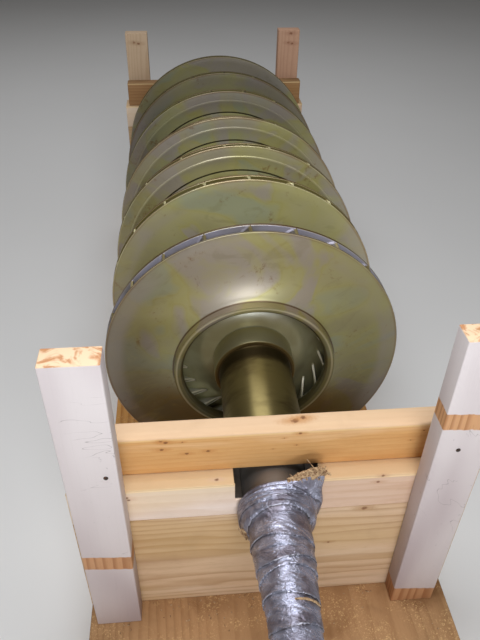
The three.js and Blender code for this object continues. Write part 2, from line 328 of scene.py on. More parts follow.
class Bench:
    """The node tree of one material, with short calls for the nodes that the finishes share, and the
    colour that they lay on layer by layer."""

    def __init__(self, name: str, colour: Colour = (0.0, 0.0, 0.0)) -> None:
        """Starts a material of this name with a bare shader and a ground colour."""
        self.material = bpy.data.materials.new(name)
        self.material.use_nodes = True
        self.tree = self.material.node_tree
        self.place: Socket = self._add("TexCoord", {}).outputs["Object"]
        self.colour: Union[Socket, Colour] = colour

    def _wire(self, socket: Socket, value: Union[Input, Sequence[float]]) -> None:
        """Links a socket to a node's output, or sets it to a plain value."""
        if isinstance(value, bpy.types.NodeSocket):
            self.tree.links.new(value, socket)
        elif isinstance(value, (int, float)):
            socket.default_value = value
        else:
            wanted = len(socket.default_value)
            socket.default_value = (tuple(value) + (1.0,))[:wanted]

    def _add(self, kind: str, inputs: dict, **settings: str) -> bpy.types.Node:
        """Adds a shader node of a kind, with its settings and its inputs."""
        node = self.tree.nodes.new(f"ShaderNode{kind}")
        for setting, value in settings.items():
            setattr(node, setting, value)
        for socket, value in inputs.items():
            self._wire(node.inputs[socket], value)
        return node

    def math(self, operation: str, first: Input, second: Input = 0.0, third: Input = 0.0) -> Socket:
        """One Math node."""
        return self._add("Math", {0: first, 1: second, 2: third}, operation=operation).outputs[0]

    def both(self, first: Input, second: Input) -> Socket:
        """The product of two shares."""
        return self.math("MULTIPLY", first, second)

    def plus(self, value: Input, other: Input, share: float) -> Socket:
        """A value with a share of another added."""
        return self.math("MULTIPLY_ADD", other, share, value)

    def fold(self, value: Socket) -> Socket:
        """How far a value is from a half, which turns soft noise into sharp creases."""
        return self.math("ABSOLUTE", self.math("SUBTRACT", value, 0.5))

    def vector(self, operation: str, first: object, second: object = (0.0, 0.0, 0.0)) -> Socket:
        """One Vector Math node, whose result is a vector, or a number for a length."""
        node = self._add("VectorMath", {0: first, 1: second}, operation=operation)
        return node.outputs["Value" if operation == "LENGTH" else "Vector"]

    def split(self, vector: Socket) -> tuple[Socket, Socket, Socket]:
        """The three parts of a vector."""
        return tuple(self._add("SeparateXYZ", {0: vector}).outputs)

    def merge(self, x: Input, y: Input = 0.0, z: Input = 0.0) -> Socket:
        """A vector of three parts."""
        return self._add("CombineXYZ", {0: x, 1: y, 2: z}).outputs[0]

    def mapped(
        self,
        scale: Triple = (1.0, 1.0, 1.0),
        shift: Triple = (0.0, 0.0, 0.0),
        vector: Optional[Socket] = None,
    ) -> Socket:
        """A vector, or else the piece's own coordinates, scaled and shifted."""
        source = self.place if vector is None else vector
        return self._add("Mapping", {"Vector": source, "Scale": scale, "Location": shift}).outputs[0]

    def tilted(self, angle: float, scale: Triple, shift: Triple) -> Socket:
        """The piece's own coordinates, turned about Y by an angle and then scaled and shifted."""
        inputs = {"Vector": self.place, "Rotation": (0.0, angle, 0.0)}
        return self.mapped(scale, shift, self._add("Mapping", inputs, vector_type="TEXTURE").outputs[0])

    def attribute(self, name: str) -> Socket:
        """A number that the piece's own mesh carries."""
        return self._add("Attribute", {}, attribute_name=name).outputs["Fac"]

    def noise(
        self, vector: Socket, scale: float, detail: float = 3.0, rough: float = 0.55, warp: float = 0.0
    ) -> Socket:
        """Cloudy noise from 0 to 1 about a half."""
        look = {"Scale": scale, "Detail": detail, "Roughness": rough, "Distortion": warp}
        return self._add("TexNoise", {"Vector": vector, **look}).outputs["Fac"]

    def cells(self, vector: Socket, scale: float) -> Socket:
        """Distance to the nearest of many scattered points."""
        return self._add("TexVoronoi", {"Vector": vector, "Scale": scale}).outputs["Distance"]

    def band(self, value: Input, low: float, high: float) -> Socket:
        """Rises smoothly from 0 to 1 as the value goes from low to high; falls where low is the higher."""
        start, end = (0.0, 1.0) if low < high else (1.0, 0.0)
        reach = {"From Min": min(low, high), "From Max": max(low, high), "To Min": start, "To Max": end}
        node = self._add("MapRange", {"Value": value, **reach}, interpolation_type="SMOOTHSTEP")
        return node.outputs["Result"]

    def between(self, value: Input, low: float, full: float, still: float, high: float) -> Socket:
        """Rises from 0 to 1 as the value goes from low to full, and falls again from still to high."""
        return self.both(self.band(value, low, full), self.band(value, high, still))

    def span(self, value: Input, low: float, high: float) -> Socket:
        """A value from 0 to 1 spread over another range."""
        return self._add("MapRange", {"Value": value, "To Min": low, "To Max": high}).outputs["Result"]

    def mix(self, share: Input, first: object, second: object, blend: str = "MIX") -> Socket:
        """Two colours mixed by a share from 0 to 1."""
        inputs = {"Factor": share, 6: first, 7: second}
        return self._add("Mix", inputs, data_type="RGBA", blend_type=blend).outputs[2]

    def lay(self, colour: object, share: Input, strength: float = 1.0) -> None:
        """Lays a colour over what there is so far, as far as a share from 0 to 1 goes."""
        if strength != 1.0:
            share = self.both(share, strength)
        self.colour = self.mix(share, self.colour, colour)

    def tint(self, colour: object) -> None:
        """Multiplies the colour that there is so far."""
        self.colour = self.mix(1.0, self.colour, colour, "MULTIPLY")

    def radius(self) -> Socket:
        """Distance from the shaft's axis."""
        offset = self.vector("SUBTRACT", self.place, (0.0, 0.0, AXIS_Z))
        return self.vector("LENGTH", self.vector("MULTIPLY", offset, (1.0, 0.0, 1.0)))

    def finish(
        self,
        roughness: Input,
        height: Optional[Socket] = None,
        depth: float = 0.001,
        metallic: float = 0.0,
        specular: float = 0.5,
    ) -> Material:
        """Sets the shader's main sockets, its colour to what has been laid on.

        Args:
            roughness: How matt the surface is.
            height: The surface's fine relief, from 0 to 1.
            depth: The depth of that relief in metres.
            metallic: 1 for bare metal.
            specular: How much a non-metal shines.

        Returns:
            The finished material.
        """
        values = {"Base Color": self.colour, "Roughness": roughness}
        values |= {"Metallic": metallic, "Specular IOR Level": specular}
        if height is not None:
            bump = self._add("Bump", {"Strength": 1.0, "Distance": depth, "Height": height})
            values["Normal"] = bump.outputs[0]
        for socket, value in values.items():
            self._wire(self.tree.nodes["Principled BSDF"].inputs[socket], value)
        return self.material


@dataclass(frozen=True)
class SlotTones:
    """The colours inside a wheel: the gas passages at the rim and at the eye, and the blades. The eye's top
    and the blades' sides, flanks and leading edges carry painted light and shade, and so do the blade ends of
    some wheels.
    """

    passage: Colour = srgb(180, 176, 192)
    eye: Colour = srgb(172, 170, 134)
    painted_eye_highlight: Colour = srgb(216, 222, 216)
    blade_end_tone_and_painted_light: Colour = srgb(128, 114, 70)
    blade_side_painted_shade: Colour = srgb(70, 60, 30)
    painted_flank_light: Colour = srgb(188, 186, 172)
    leading_edge_highlight: Colour = srgb(240, 236, 214)


@dataclass(frozen=True)
class StainedSteel:
    """Turned wheel steel under a dried, oily film: grey-olive, with grey and violet patches that have
    yellow-green borders, rusty specks and a browned corner along the rim. Painted shade darkens the lower
    half, the -X side, a cover's throat and its groove; painted highlights brighten the rim's corner, the
    eye's lip and a cover's ridge; and each wheel has a painted brightness of its own."""

    seed: int
    olive: Colour = srgb(160, 154, 112)
    green: Colour = srgb(160, 154, 96)
    violet: Colour = srgb(152, 142, 134)
    slate: Colour = srgb(144, 148, 122)
    dark: Colour = srgb(112, 102, 62)
    brown: Colour = srgb(116, 80, 38)
    # bright: the colour of the painted highlights on the rim's corner, the eye's lip and a cover's ridge.
    bright: Colour = srgb(226, 218, 178)
    # The colours of the painted shade over the lower half and on the -X side.
    painted_low_shade: Colour = srgb(84, 74, 38)
    painted_left_shade: Colour = srgb(104, 86, 76)
    tide: Colour = srgb(150, 138, 62)
    violet_share: float = 0.5
    # light: the wheel's painted brightness, which multiplies its colour for how much light reaches it.
    light: float = 1.0
    # ridge_shine: how strong the painted highlight on a cover's ridge is.
    ridge_shine: float = 0.0
    grooved: bool = False
    rim: float = 0.31

    def _film(self, bench: Bench, patch: Colour, vector: Socket, scale: float, low: float) -> None:
        """Lays on patches of a dried film, each with a yellow-green border and a tide line."""
        cloud = bench.noise(vector, scale, 3.0, 0.5, 1.2)
        bench.lay(self.green, bench.between(cloud, low - 0.09, low, low, low + 0.08), 0.5)
        bench.lay(patch, bench.band(cloud, low - 0.02, low + 0.07), 0.75)
        tide = bench.between(cloud, low - 0.02, low - 0.004, low, low + 0.016)
        bench.lay(self.tide, bench.both(tide, bench.span(bench.noise(vector, 26.0, 2.0), -0.15, 0.45)))

    def _stain(self, bench: Bench, radius: Socket) -> None:
        """Lays on the mottled colour of the stain, with painted shade over the lower half and on the -X side.
        """
        shift = (3.1 * self.seed, 1.7 * self.seed, 2.3 * self.seed)
        place = bench.mapped(shift=shift)
        slanted = bench.tilted(0.6 + 0.5 * self.seed, (1.0, 1.0, 0.5), shift)
        shade = bench.noise(place, 3.4, 2.0, 0.5, 0.6)
        bench.lay(self.dark, bench.band(shade, 0.5, 0.68), 0.3)
        self._film(bench, self.slate, slanted, 5.5, 0.53)
        self._film(bench, self.violet, place, 4.8, 0.62 - 0.14 * self.violet_share)
        across, _, height = bench.split(bench.place)
        # Painted shade: darker over the lower half, and in a violet-brown tone on the -X side.
        sunk = bench.band(bench.plus(height, shade, 0.06), AXIS_Z + 0.15, AXIS_Z - 0.15)
        bench.lay(self.painted_low_shade, sunk, 0.64)
        bench.lay(self.painted_left_shade, bench.band(bench.plus(across, shade, 0.08), -0.08, -0.26), 0.4)
        streaks = bench.noise(slanted, 22.0, 4.0, 0.65, 1.4)
        bench.lay(self.green, bench.band(streaks, 0.52, 0.7), 0.28)
        bench.lay(self.dark, bench.band(streaks, 0.44, 0.3), 0.22)
        outer = bench.band(radius, self.rim - 0.046, self.rim - 0.026)
        bench.lay(self.violet, bench.both(outer, bench.band(shade, 0.44, 0.58)), 0.6)
        rusty = bench.band(bench.noise(place, 13.0, 5.0, 0.75, 0.6), 0.58, 0.68)
        specks = bench.band(bench.noise(place, 95.0, 3.0, 0.7), 0.45, 0.6)
        bench.lay(self.brown, bench.both(rusty, specks), 0.6)
        corner = bench.band(radius, self.rim - 0.0065, self.rim - 0.001)
        bench.lay(self.brown, bench.both(corner, bench.band(shade, 0.36, 0.58)), 0.7)

    def _edge(self, bench: Bench, radius: Socket) -> None:
        """Browns the skin of the rim, and paints a highlight along its corner here and there."""
        rim = self.rim
        bench.lay(dim(self.brown, 0.5), bench.band(radius, rim - 0.0006, rim - 0.0001), 0.85)
        corner = bench.between(radius, rim - 0.0024, rim - 0.0014, rim - 0.0006, rim - 0.0002)
        # This noise only breaks up the painted highlight.
        worn = bench.noise(bench.place, 9.0, 2.0, 0.5)
        bench.lay(self.bright, bench.both(corner, bench.span(worn, 0.0, 0.55)))

    def _sheen(self, bench: Bench, radius: Socket) -> Material:
        """Adds the wheel's painted brightness, the sheen and the fine turning marks."""
        turning = bench.noise(bench.merge(bench.both(radius, 420.0)), 1.0, 2.0, 0.7)
        dull = bench.noise(bench.place, 7.0, 3.0, 0.5, 0.8)
        bench.tint((self.light,) * 3)
        return bench.finish(bench.span(dull, 0.27, 0.4), turning, 0.00005, metallic=0.38)

    def cover(self, name: str, eye_ring: float) -> Material:
        """The finish of a cover.

        Args:
            name: The material's name.
            eye_ring: The outer radius of the ring round the eye.

        Returns:
            The material.
        """
        bench = Bench(name, self.olive)
        radius = bench.radius()
        self._stain(bench, radius)
        if self.grooved:
            # A painted highlight along the ridge, and painted shade in the groove.
            bench.lay(self.bright, bench.between(radius, 0.2806, 0.2816, 0.2848, 0.2862), self.ridge_shine)
            bench.lay(dim(self.dark, 0.3), bench.between(radius, 0.2488, 0.2494, 0.2528, 0.2534), 0.93)
        # Rings round the eye: brown on the ring's wall, a dark brown line at its foot, a dark line on the
        # lip's outer corner and a painted highlight on the lip.
        rings = (
            (self.brown, 0.32, (-0.0012, -0.0006, 0.001, 0.0042)),
            (dim(self.brown, 0.4), 0.8, (0.0003, 0.0009, 0.0018, 0.0036)),
            (self.dark, 0.5, (-0.0026, -0.0018, -0.0006, 0.0001)),
            (self.bright, 0.55, (-0.0085, -0.0065, -0.0045, -0.003)),
        )
        for colour, strength, edges in rings:
            bench.lay(colour, bench.between(radius, *(eye_ring + edge for edge in edges)), strength)
        # Painted shade over the cover's throat, inside the eye.
        bench.lay(dim(self.dark, 0.35), bench.band(radius, eye_ring - 0.0125, eye_ring - 0.0155), 0.8)
        self._edge(bench, radius)
        return self._sheen(bench, radius)

    def disc(self, name: str, front: float, eye: float, slot: SlotTones) -> Material:
        """The finish of a disc with its blades: cleaner steel where the gas passes, painted light on eye and
        blades.

        Args:
            name: The material's name.
            front: Where the disc's front face lies along Y.
            eye: Where the blades' front edges begin along Y, at the cover.
            slot: The colours of the passages and of the blades.

        Returns:
            The material.
        """
        bench = Bench(name, self.olive)
        radius = bench.radius()
        _, along, height = bench.split(bench.place)
        self._stain(bench, radius)
        self._edge(bench, radius)
        # A painted highlight over the top of the eye's hub.
        upper = bench.band(height, AXIS_Z + 0.06, AXIS_Z + 0.15)
        paler_and_painted_light = bench.mix(bench.both(upper, bench.band(radius, 0.092, 0.112)), slot.eye, slot.painted_eye_highlight)
        paler_and_painted_light = bench.mix(bench.band(radius, 0.17, 0.27), paler_and_painted_light, slot.passage)
        lines = bench.band(bench.noise(bench.place, 12.0, 3.0, 0.5, 0.4), 0.4, 0.7)
        paler_and_painted_light = bench.mix(bench.both(lines, 0.45), paler_and_painted_light, self.dark)
        ahead_of_face = bench.band(along, front + 0.0006, front + 0.0002)
        inside = bench.both(ahead_of_face, bench.band(radius, self.rim - 0.0002, self.rim - 0.0006))
        bench.lay(paler_and_painted_light, inside, 0.92)
        # The blades' sides in painted shade.
        side = bench.both(bench.band(along, front - 0.002, front - 0.0045), bench.band(radius, 0.25, 0.275))
        bench.lay(slot.blade_side_painted_shade, side, 0.9)
        # The blades' ends in the slot's end tone, a painted highlight in the dark slots and a painted shadow
        # in the deep ones.
        end = bench.both(bench.band(along, front - 0.0012, front - 0.002), bench.band(radius, 0.3068, 0.3076))
        bench.lay(slot.blade_end_tone_and_painted_light, end, 0.9)
        # Painted light over the blades' flanks near the eye, and a painted highlight on their leading edges.
        inlet = bench.plus(0.166, bench.math("SUBTRACT", along, eye), -0.023 / (front - eye))
        behind_inlet = bench.math("SUBTRACT", radius, inlet)
        blade = bench.band(along, front - 0.001, front - 0.004)
        painted_flank_light = bench.between(behind_inlet, -0.004, -0.002, 0.014, 0.026)
        bench.lay(slot.painted_flank_light, bench.both(painted_flank_light, blade), 0.75)
        leading = bench.between(behind_inlet, -0.0032, -0.0016, 0.0022, 0.0036)
        bench.lay(slot.leading_edge_highlight, bench.both(leading, blade), 0.95)
        return self._sheen(bench, radius)


@dataclass(frozen=True)
class TurnedSteel:
    """Turned steel with an oily skin: tool marks and browner bands round the axis, and one darker band
    between two places along Y, with a nose behind it painted lighter for the light that falls on it."""

    clean: Colour
    stained: Colour
    stain_share: float = 0.5
    roughness: float = 0.3
    pitch: float = 0.0016
    metallic: float = 0.75
    dark_band: Optional[tuple[float, float]] = None
    # nose: the nose's colour, painted lighter than the steel for the light that falls on it.
    nose: Colour = srgb(206, 198, 154)
    seed: int = 0

    def material(self, name: str) -> Material:
        """The finish as a material of this name."""
        bench = Bench(name, self.clean)
        x, along, z = bench.split(bench.place)
        reach = bench.math("ADD", along, bench.radius())
        rings = bench.merge(bench.both(x, 1.6), bench.plus(1.7 * self.seed, reach, 4.0), bench.both(z, 1.6))
        patches = bench.noise(rings, 5.0, 4.0, 0.6, 0.3)
        low = 0.62 - 0.3 * self.stain_share
        bench.lay(self.stained, bench.band(patches, low, low + 0.3), 0.8)
        marks = bench.noise(bench.merge(bench.math("DIVIDE", reach, self.pitch)), 1.0, 2.0, 0.6)
        bench.lay(self.stained, bench.band(marks, 0.5, 0.75), 0.22)
        if self.dark_band:
            start, end = self.dark_band
            soft_start = bench.band(bench.plus(along, patches, 0.012), start, start + 0.018)
            dark = bench.both(soft_start, bench.band(along, end + 0.0002, end - 0.0002))
            bench.lay(dim(self.stained, 0.5), dark, 0.85)
            # Painted light over the nose.
            paler_and_painted_light = bench.band(along, end + 0.0004, end + 0.0016)
            bench.lay(self.nose, bench.both(paler_and_painted_light, bench.span(patches, 0.5, 1.0)))
        roughness = bench.span(patches, self.roughness - 0.05, self.roughness + 0.12)
        return bench.finish(roughness, marks, 0.00012, metallic=self.metallic)


class Grain(Enum):
    """The axis that a timber's grain runs along, and the two across it."""

    ACROSS = (0, 1, 2)
    LENGTHWISE = (1, 0, 2)
    UPRIGHT = (2, 0, 1)


@dataclass(frozen=True)
class Knot:
    """A knot in a timber's face, at x and a height above the shaft's axis, with its radius. One that
    runs right through the timber has no y."""

    x: float
    height: float
    radius: float
    y: Optional[float] = None


@dataclass(frozen=True)
class Pine:
    """Sawn softwood: growth rings cut by the faces, latewood lines, pores, knots and handling dirt, with a
    painted highlight along the edge below the crown and painted shade in a notch. The crown is a height over
    the shaft's axis with the colour of what lies above it."""

    grain: Grain
    pith: tuple[float, float] = (0.02, -0.12)
    ring: float = 0.0065
    early: Colour = srgb(226, 178, 112)
    late: Colour = srgb(186, 122, 60)
    knot: Colour = srgb(112, 66, 36)
    contrast: float = 0.8
    dirt: float = 0.25
    knots: tuple[Knot, ...] = ()
    crown: Optional[tuple[float, Colour]] = None
    painted_arris_highlight: Colour = srgb(244, 216, 160)
    pale: Optional[Colour] = None
    gilt: Colour = srgb(224, 180, 92)
    # Whether the walls of a notch get painted shade.
    shaded_notch: bool = False
    notch_shade: Colour = srgb(22, 17, 11)
    seed: int = 0

    def _handle(self, bench: Bench, stretched: Socket) -> None:
        """Lays on paler patches and warmer ones, drawn out along the grain."""
        patches = bench.noise(stretched, 17.0, 4.0, 0.6, 0.5)
        bench.lay(self.pale, bench.band(patches, 0.5, 0.68), 0.6)
        bench.lay(self.late, bench.band(patches, 0.48, 0.34), 0.35)
        bench.lay(self.gilt, bench.band(bench.noise(stretched, 7.0, 2.0, 0.5, 0.4), 0.5, 0.64), 0.45)

    def _tint_crown(self, bench: Bench, broad: Socket) -> None:
        """Tints a timber's upper face, and paints a highlight along the rounded edge below it."""
        level = bench.plus(bench.split(bench.place)[2], broad, 0.002)
        top, colour = AXIS_Z + self.crown[0], self.crown[1]
        bench.lay(colour, bench.band(level, top - 0.0012, top + 0.0006), 0.7)
        # A painted highlight along the rounded edge.
        painted_arris_highlight = bench.between(level, top - 0.0042, top - 0.0026, top - 0.0006, top + 0.0006)
        bench.lay(self.painted_arris_highlight, bench.both(painted_arris_highlight, bench.span(broad, 0.15, 0.85)))

    def _shade_notch(self, bench: Bench) -> None:
        """Paints near-black shade on the walls of a saddle's notch behind its outer edge, for the deep gap
        beside the journal.
        """
        x, y, _ = bench.split(bench.place)
        near = bench.band(bench.math("ABSOLUTE", x), 0.0712, 0.0698)
        deep = bench.band(bench.math("ABSOLUTE", y), 0.9238, 0.9215)
        bench.lay(self.notch_shade, bench.both(near, deep), 0.95)

    def _lay_knots(self, bench: Bench) -> None:
        """Lays on the halo and the dark eye of each knot."""
        for knot in self.knots:
            offset = bench.vector("SUBTRACT", bench.place, (knot.x, knot.y or 0.0, AXIS_Z + knot.height))
            deep = 0.0 if knot.y is None else 1.0
            wobble = bench.both(bench.noise(bench.place, 210.0, 3.0, 0.65), knot.radius * 1.3)
            for width, reach, colour, strength in ((0.32, 3.0, self.late, 0.6), (0.75, 1.75, self.knot, 0.8)):
                away = bench.vector("LENGTH", bench.vector("MULTIPLY", offset, (width, deep, 1.0)))
                rough = bench.math("ADD", away, wobble)
                bench.lay(colour, bench.band(rough, knot.radius * reach, knot.radius), strength)

    def wood(self, bench: Bench) -> Socket:
        """Lays on the wood's colour from the ground up, and gives back its relief."""
        bench.colour = self.early
        parts = bench.split(bench.place)
        along, across, depth = (parts[i] for i in self.grain.value)
        stretched = bench.merge(
            bench.plus(0.37 * self.seed, along, 0.12),
            bench.plus(0.61 * self.seed, across, 1.0),
            bench.plus(0.83 * self.seed, depth, 1.0),
        )
        pith_across, pith_depth = self.pith
        if self.grain is not Grain.UPRIGHT:
            pith_depth += AXIS_Z
        from_pith = (bench.math("SUBTRACT", across, pith_across), bench.math("SUBTRACT", depth, pith_depth))
        wander = bench.noise(stretched, 2.2, 1.0, 0.5)
        reach = bench.plus(bench.vector("LENGTH", bench.merge(*from_pith)), wander, 0.055)
        reach = bench.plus(reach, bench.noise(stretched, 9.0, 3.0, 0.6), 0.024)
        turn = bench.math("FRACT", bench.math("DIVIDE", reach, self.ring))
        line = bench.between(turn, 0.35, 0.86, 0.88, 0.99)
        broad = bench.noise(stretched, 5.0, 2.0, 0.5)
        fibre = bench.noise(stretched, 420.0, 2.0, 0.7)
        bench.lay(self.late, bench.both(line, bench.span(broad, self.contrast * 0.5, self.contrast * 1.2)))
        bench.lay(self.late, bench.band(fibre, 0.5, 0.8), 0.25)
        if self.pale:
            self._handle(bench, stretched)
        if self.crown:
            self._tint_crown(bench, broad)
        self._lay_knots(bench)
        smudge = bench.noise(bench.mapped(shift=(self.seed, 0.0, 0.0)), 13.0, 4.0, 0.6, 0.4)
        bench.lay(dim(self.late, 0.45), bench.band(smudge, 0.52, 0.78), self.dirt)
        if self.shaded_notch:
            self._shade_notch(bench)
        return bench.plus(bench.both(fibre, 0.7), line, 0.5)

    def material(self, name: str) -> Material:
        """The finish as a material of this name."""
        bench = Bench(name)
        relief = self.wood(bench)
        return bench.finish(bench.span(relief, 0.62, 0.78), relief, 0.0004, specular=0.3)


@dataclass(frozen=True)
class BareBand:
    """A stretch of a painted post with no paint: its lower and upper height above the shaft's axis at
    x, and how much both rise for each metre across."""

    low: float
    high: float
    x: float
    slope: float


@dataclass(frozen=True)
class PaintedPine:
    """White-painted softwood: faint pinkish-grey clouds, a few fine scratches, bare bands and a bare top,
    with painted light that darkens it towards its foot and lightens its top."""

    wood: Pine
    bands: tuple[BareBand, ...]
    top: float
    seed: int
    paint: Colour = srgb(222, 214, 212)
    shade: Colour = srgb(198, 186, 186)
    scuff: Colour = srgb(124, 110, 106)
    end_grain: Colour = srgb(226, 196, 160)
    blotch: Colour = srgb(176, 108, 52)

    def _scratch(self, bench: Bench) -> None:
        """Lays on a few thin scratches across the grain, and fewer small rubs."""
        slanted = bench.tilted(0.25 + self.seed, (1.0, 0.3, 5.0), (1.7 * self.seed, 0.0, 0.0))
        thin = bench.between(bench.noise(slanted, 9.0, 2.0, 0.5, 0.2), 0.494, 0.5, 0.5, 0.506)
        patchy = bench.band(bench.noise(bench.place, 11.0, 2.0), 0.56, 0.64)
        bench.lay(self.scuff, bench.both(thin, patchy), 0.6)
        rubs = bench.noise(bench.mapped((1.0, 1.0, 0.7), (0.9 * self.seed, 0.0, 0.0)), 75.0, 3.0, 0.65)
        bench.lay(self.scuff, bench.band(rubs, 0.7, 0.78), 0.5)

    def _worn(self, bench: Bench, x: Socket, height: Socket) -> Input:
        """Where the bare bands are, with ragged edges."""
        worn: Input = 0.0
        ragged = bench.both(bench.noise(bench.place, 90.0, 3.0), 0.005)
        for band in self.bands:
            tilt = bench.both(bench.math("SUBTRACT", x, band.x), band.slope)
            level = bench.math("ADD", bench.math("SUBTRACT", height, tilt), ragged)
            low, high = band.low, band.high
            inside = bench.between(level, low + 0.002, low + 0.004, high + 0.002, high + 0.004)
            worn = bench.math("MAXIMUM", worn, inside)
        return worn

    def material(self, name: str) -> Material:
        """The finish as a material of this name."""
        bench = Bench(name)
        relief = self.wood.wood(bench)
        bare, bench.colour = bench.colour, self.paint
        x, _, z = bench.split(bench.place)
        height = bench.math("SUBTRACT", z, AXIS_Z)
        clouds = bench.noise(bench.mapped((1.0, 1.0, 0.3), (0.9 * self.seed, 0.0, 0.0)), 6.0, 2.0, 0.5, 0.3)
        bench.lay(self.shade, bench.band(clouds, 0.4, 0.7))
        self._scratch(bench)
        worn = self._worn(bench, x, height)
        bench.lay(bare, worn)
        blotches = bench.band(bench.noise(bench.place, 38.0, 4.0, 0.6, 0.8), 0.5, 0.64)
        sawn_end = bench.mix(bench.both(blotches, 0.8), self.end_grain, self.blotch)
        bench.lay(sawn_end, bench.band(height, self.top - 0.0016, self.top - 0.0006))
        # Painted light: darker towards the foot and lighter at the top.
        rise = bench.plus(0.43, height, 1.6)
        bench.tint(bench.merge(*(bench.span(rise, foot, 1.16) for foot in (0.64, 0.57, 0.54))))
        skin = bench.plus(bench.both(relief, 0.3), worn, -0.5)
        return bench.finish(bench.span(clouds, 0.5, 0.62), skin, 0.0004, specular=0.35)


@dataclass(frozen=True)
class SilverTape:
    """Silver cloth tape: a thin bright skin drawn into fine puckers, with dull and grimy stretches and each
    turn of its winding in a tone of its own; a painted shadow where each turn begins under the raised edge of
    the one before, and a painted highlight along that edge."""

    light: Colour = srgb(170, 172, 190)
    dull: Colour = srgb(118, 112, 122)
    grime: Colour = srgb(92, 80, 72)
    turn_edge_highlight: Colour = srgb(206, 208, 220)

    def material(self, name: str) -> Material:
        """The finish as a material of this name."""
        bench = Bench(name, self.light)
        clouds = bench.noise(bench.mapped((1.0, 1.7, 1.0)), 24.0, 4.0, 0.6, 0.7)
        wound = bench.attribute("wound")
        turn, share = bench.math("FLOOR", wound), bench.math("FRACT", wound)
        tone = bench.noise(bench.merge(bench.both(turn, 3.7)), 1.3, 0.0)
        worn = bench.plus(clouds, bench.math("SUBTRACT", tone, 0.5), 0.7)
        bench.lay(self.dull, bench.band(worn, 0.36, 0.66))
        # A painted shadow where each turn begins, and a painted highlight along the edge above it.
        shadow = bench.both(bench.band(share, 0.07, 0.0), bench.band(clouds, 0.3, 0.56))
        bench.lay(dim(self.grime, 0.3), shadow, 0.8)
        bench.lay(self.turn_edge_highlight, bench.both(bench.band(share, 0.94, 0.98), bench.band(clouds, 0.5, 0.62)), 0.6)
        bench.lay(self.grime, bench.band(bench.noise(bench.place, 55.0, 4.0, 0.65, 0.4), 0.6, 0.78), 0.5)
        x, y, z = bench.split(bench.place)
        drawn = bench.merge(bench.plus(x, y, 0.5), bench.both(y, 2.2), bench.plus(z, y, -0.4))
        puckers = bench.fold(bench.noise(drawn, 95.0, 3.0, 0.6, 0.9))
        pleats = bench.both(bench.fold(bench.noise(drawn, 34.0, 2.0, 0.5, 1.3)), bench.band(clouds, 0.4, 0.6))
        weave = bench.both(bench.cells(bench.place, 900.0), 0.05)
        relief = bench.plus(bench.plus(weave, puckers, 1.4), pleats, 4.0)
        return bench.finish(bench.span(clouds, 0.17, 0.4), relief, 0.0012, metallic=0.72)


@dataclass(frozen=True)
class Fibre:
    """Torn padding and chips of wood: pale and dry, each strand a little different."""

    pale: Colour = srgb(194, 164, 126)
    brown: Colour = srgb(112, 76, 50)
    scale: float = 240.0

    def material(self, name: str) -> Material:
        """The finish as a material of this name."""
        bench = Bench(name, self.pale)
        tone = bench.noise(bench.place, self.scale, 4.0, 0.7)
        bench.lay(self.brown, bench.band(tone, 0.4, 0.66))
        return bench.finish(0.85, tone, 0.0006, specular=0.2)


@dataclass(frozen=True)
class DeckBoard:
    """A trodden softwood sheet: golden brown, stained, with fine sawdust in its grain."""

    board: Pine
    stain: Colour = srgb(112, 70, 34)
    dust: Colour = srgb(226, 188, 132)

    def material(self, name: str) -> Material:
        """The finish as a material of this name."""
        bench = Bench(name)
        relief = self.board.wood(bench)
        bench.lay(self.stain, bench.band(bench.noise(bench.place, 6.0, 4.0, 0.6, 0.6), 0.5, 0.72), 0.6)
        grains = bench.band(bench.noise(bench.place, 300.0, 3.0, 0.75), 0.52, 0.66)
        drifts = bench.band(bench.noise(bench.place, 16.0, 3.0, 0.6), 0.4, 0.62)
        bench.lay(self.dust, bench.both(grains, drifts), 0.85)
        return bench.finish(0.8, relief, 0.0006, specular=0.25)


@dataclass(frozen=True)
class ScrewIron:
    """Dark fastener steel with a little rust."""

    iron: Colour = srgb(70, 64, 60)
    rust: Colour = srgb(112, 68, 40)

    def material(self, name: str) -> Material:
        """The finish as a material of this name."""
        bench = Bench(name, self.iron)
        clouds = bench.noise(bench.place, 500.0, 3.0, 0.6)
        bench.lay(self.rust, bench.band(clouds, 0.45, 0.7))
        return bench.finish(0.5, clouds, 0.0001, metallic=0.7)


# ---- Rotor


@dataclass(frozen=True)
class Stage:
    """The sizes that differ from wheel to wheel, in millimetres, with the blades' count and phase."""

    number: int
    slot: float
    cover: float
    disc: float
    cone: float
    blades: int
    blade: float
    phase: float


STAGES = (
    Stage(1, slot=22, cover=4.5, disc=7, cone=2, blades=22, blade=5, phase=42.5),
    Stage(2, slot=15, cover=4, disc=6, cone=6, blades=20, blade=4, phase=52),
    Stage(3, slot=9, cover=4, disc=5.5, cone=8, blades=18, blade=4, phase=55.5),
    Stage(4, slot=4, cover=4, disc=5, cone=8, blades=18, blade=4, phase=48),
    Stage(5, slot=11, cover=4, disc=5, cone=8, blades=20, blade=4, phase=61.6),
    Stage(6, slot=10, cover=4, disc=5, cone=8, blades=20, blade=4, phase=70.5),
    Stage(7, slot=9, cover=4, disc=5, cone=8, blades=20, blade=4, phase=64),
)


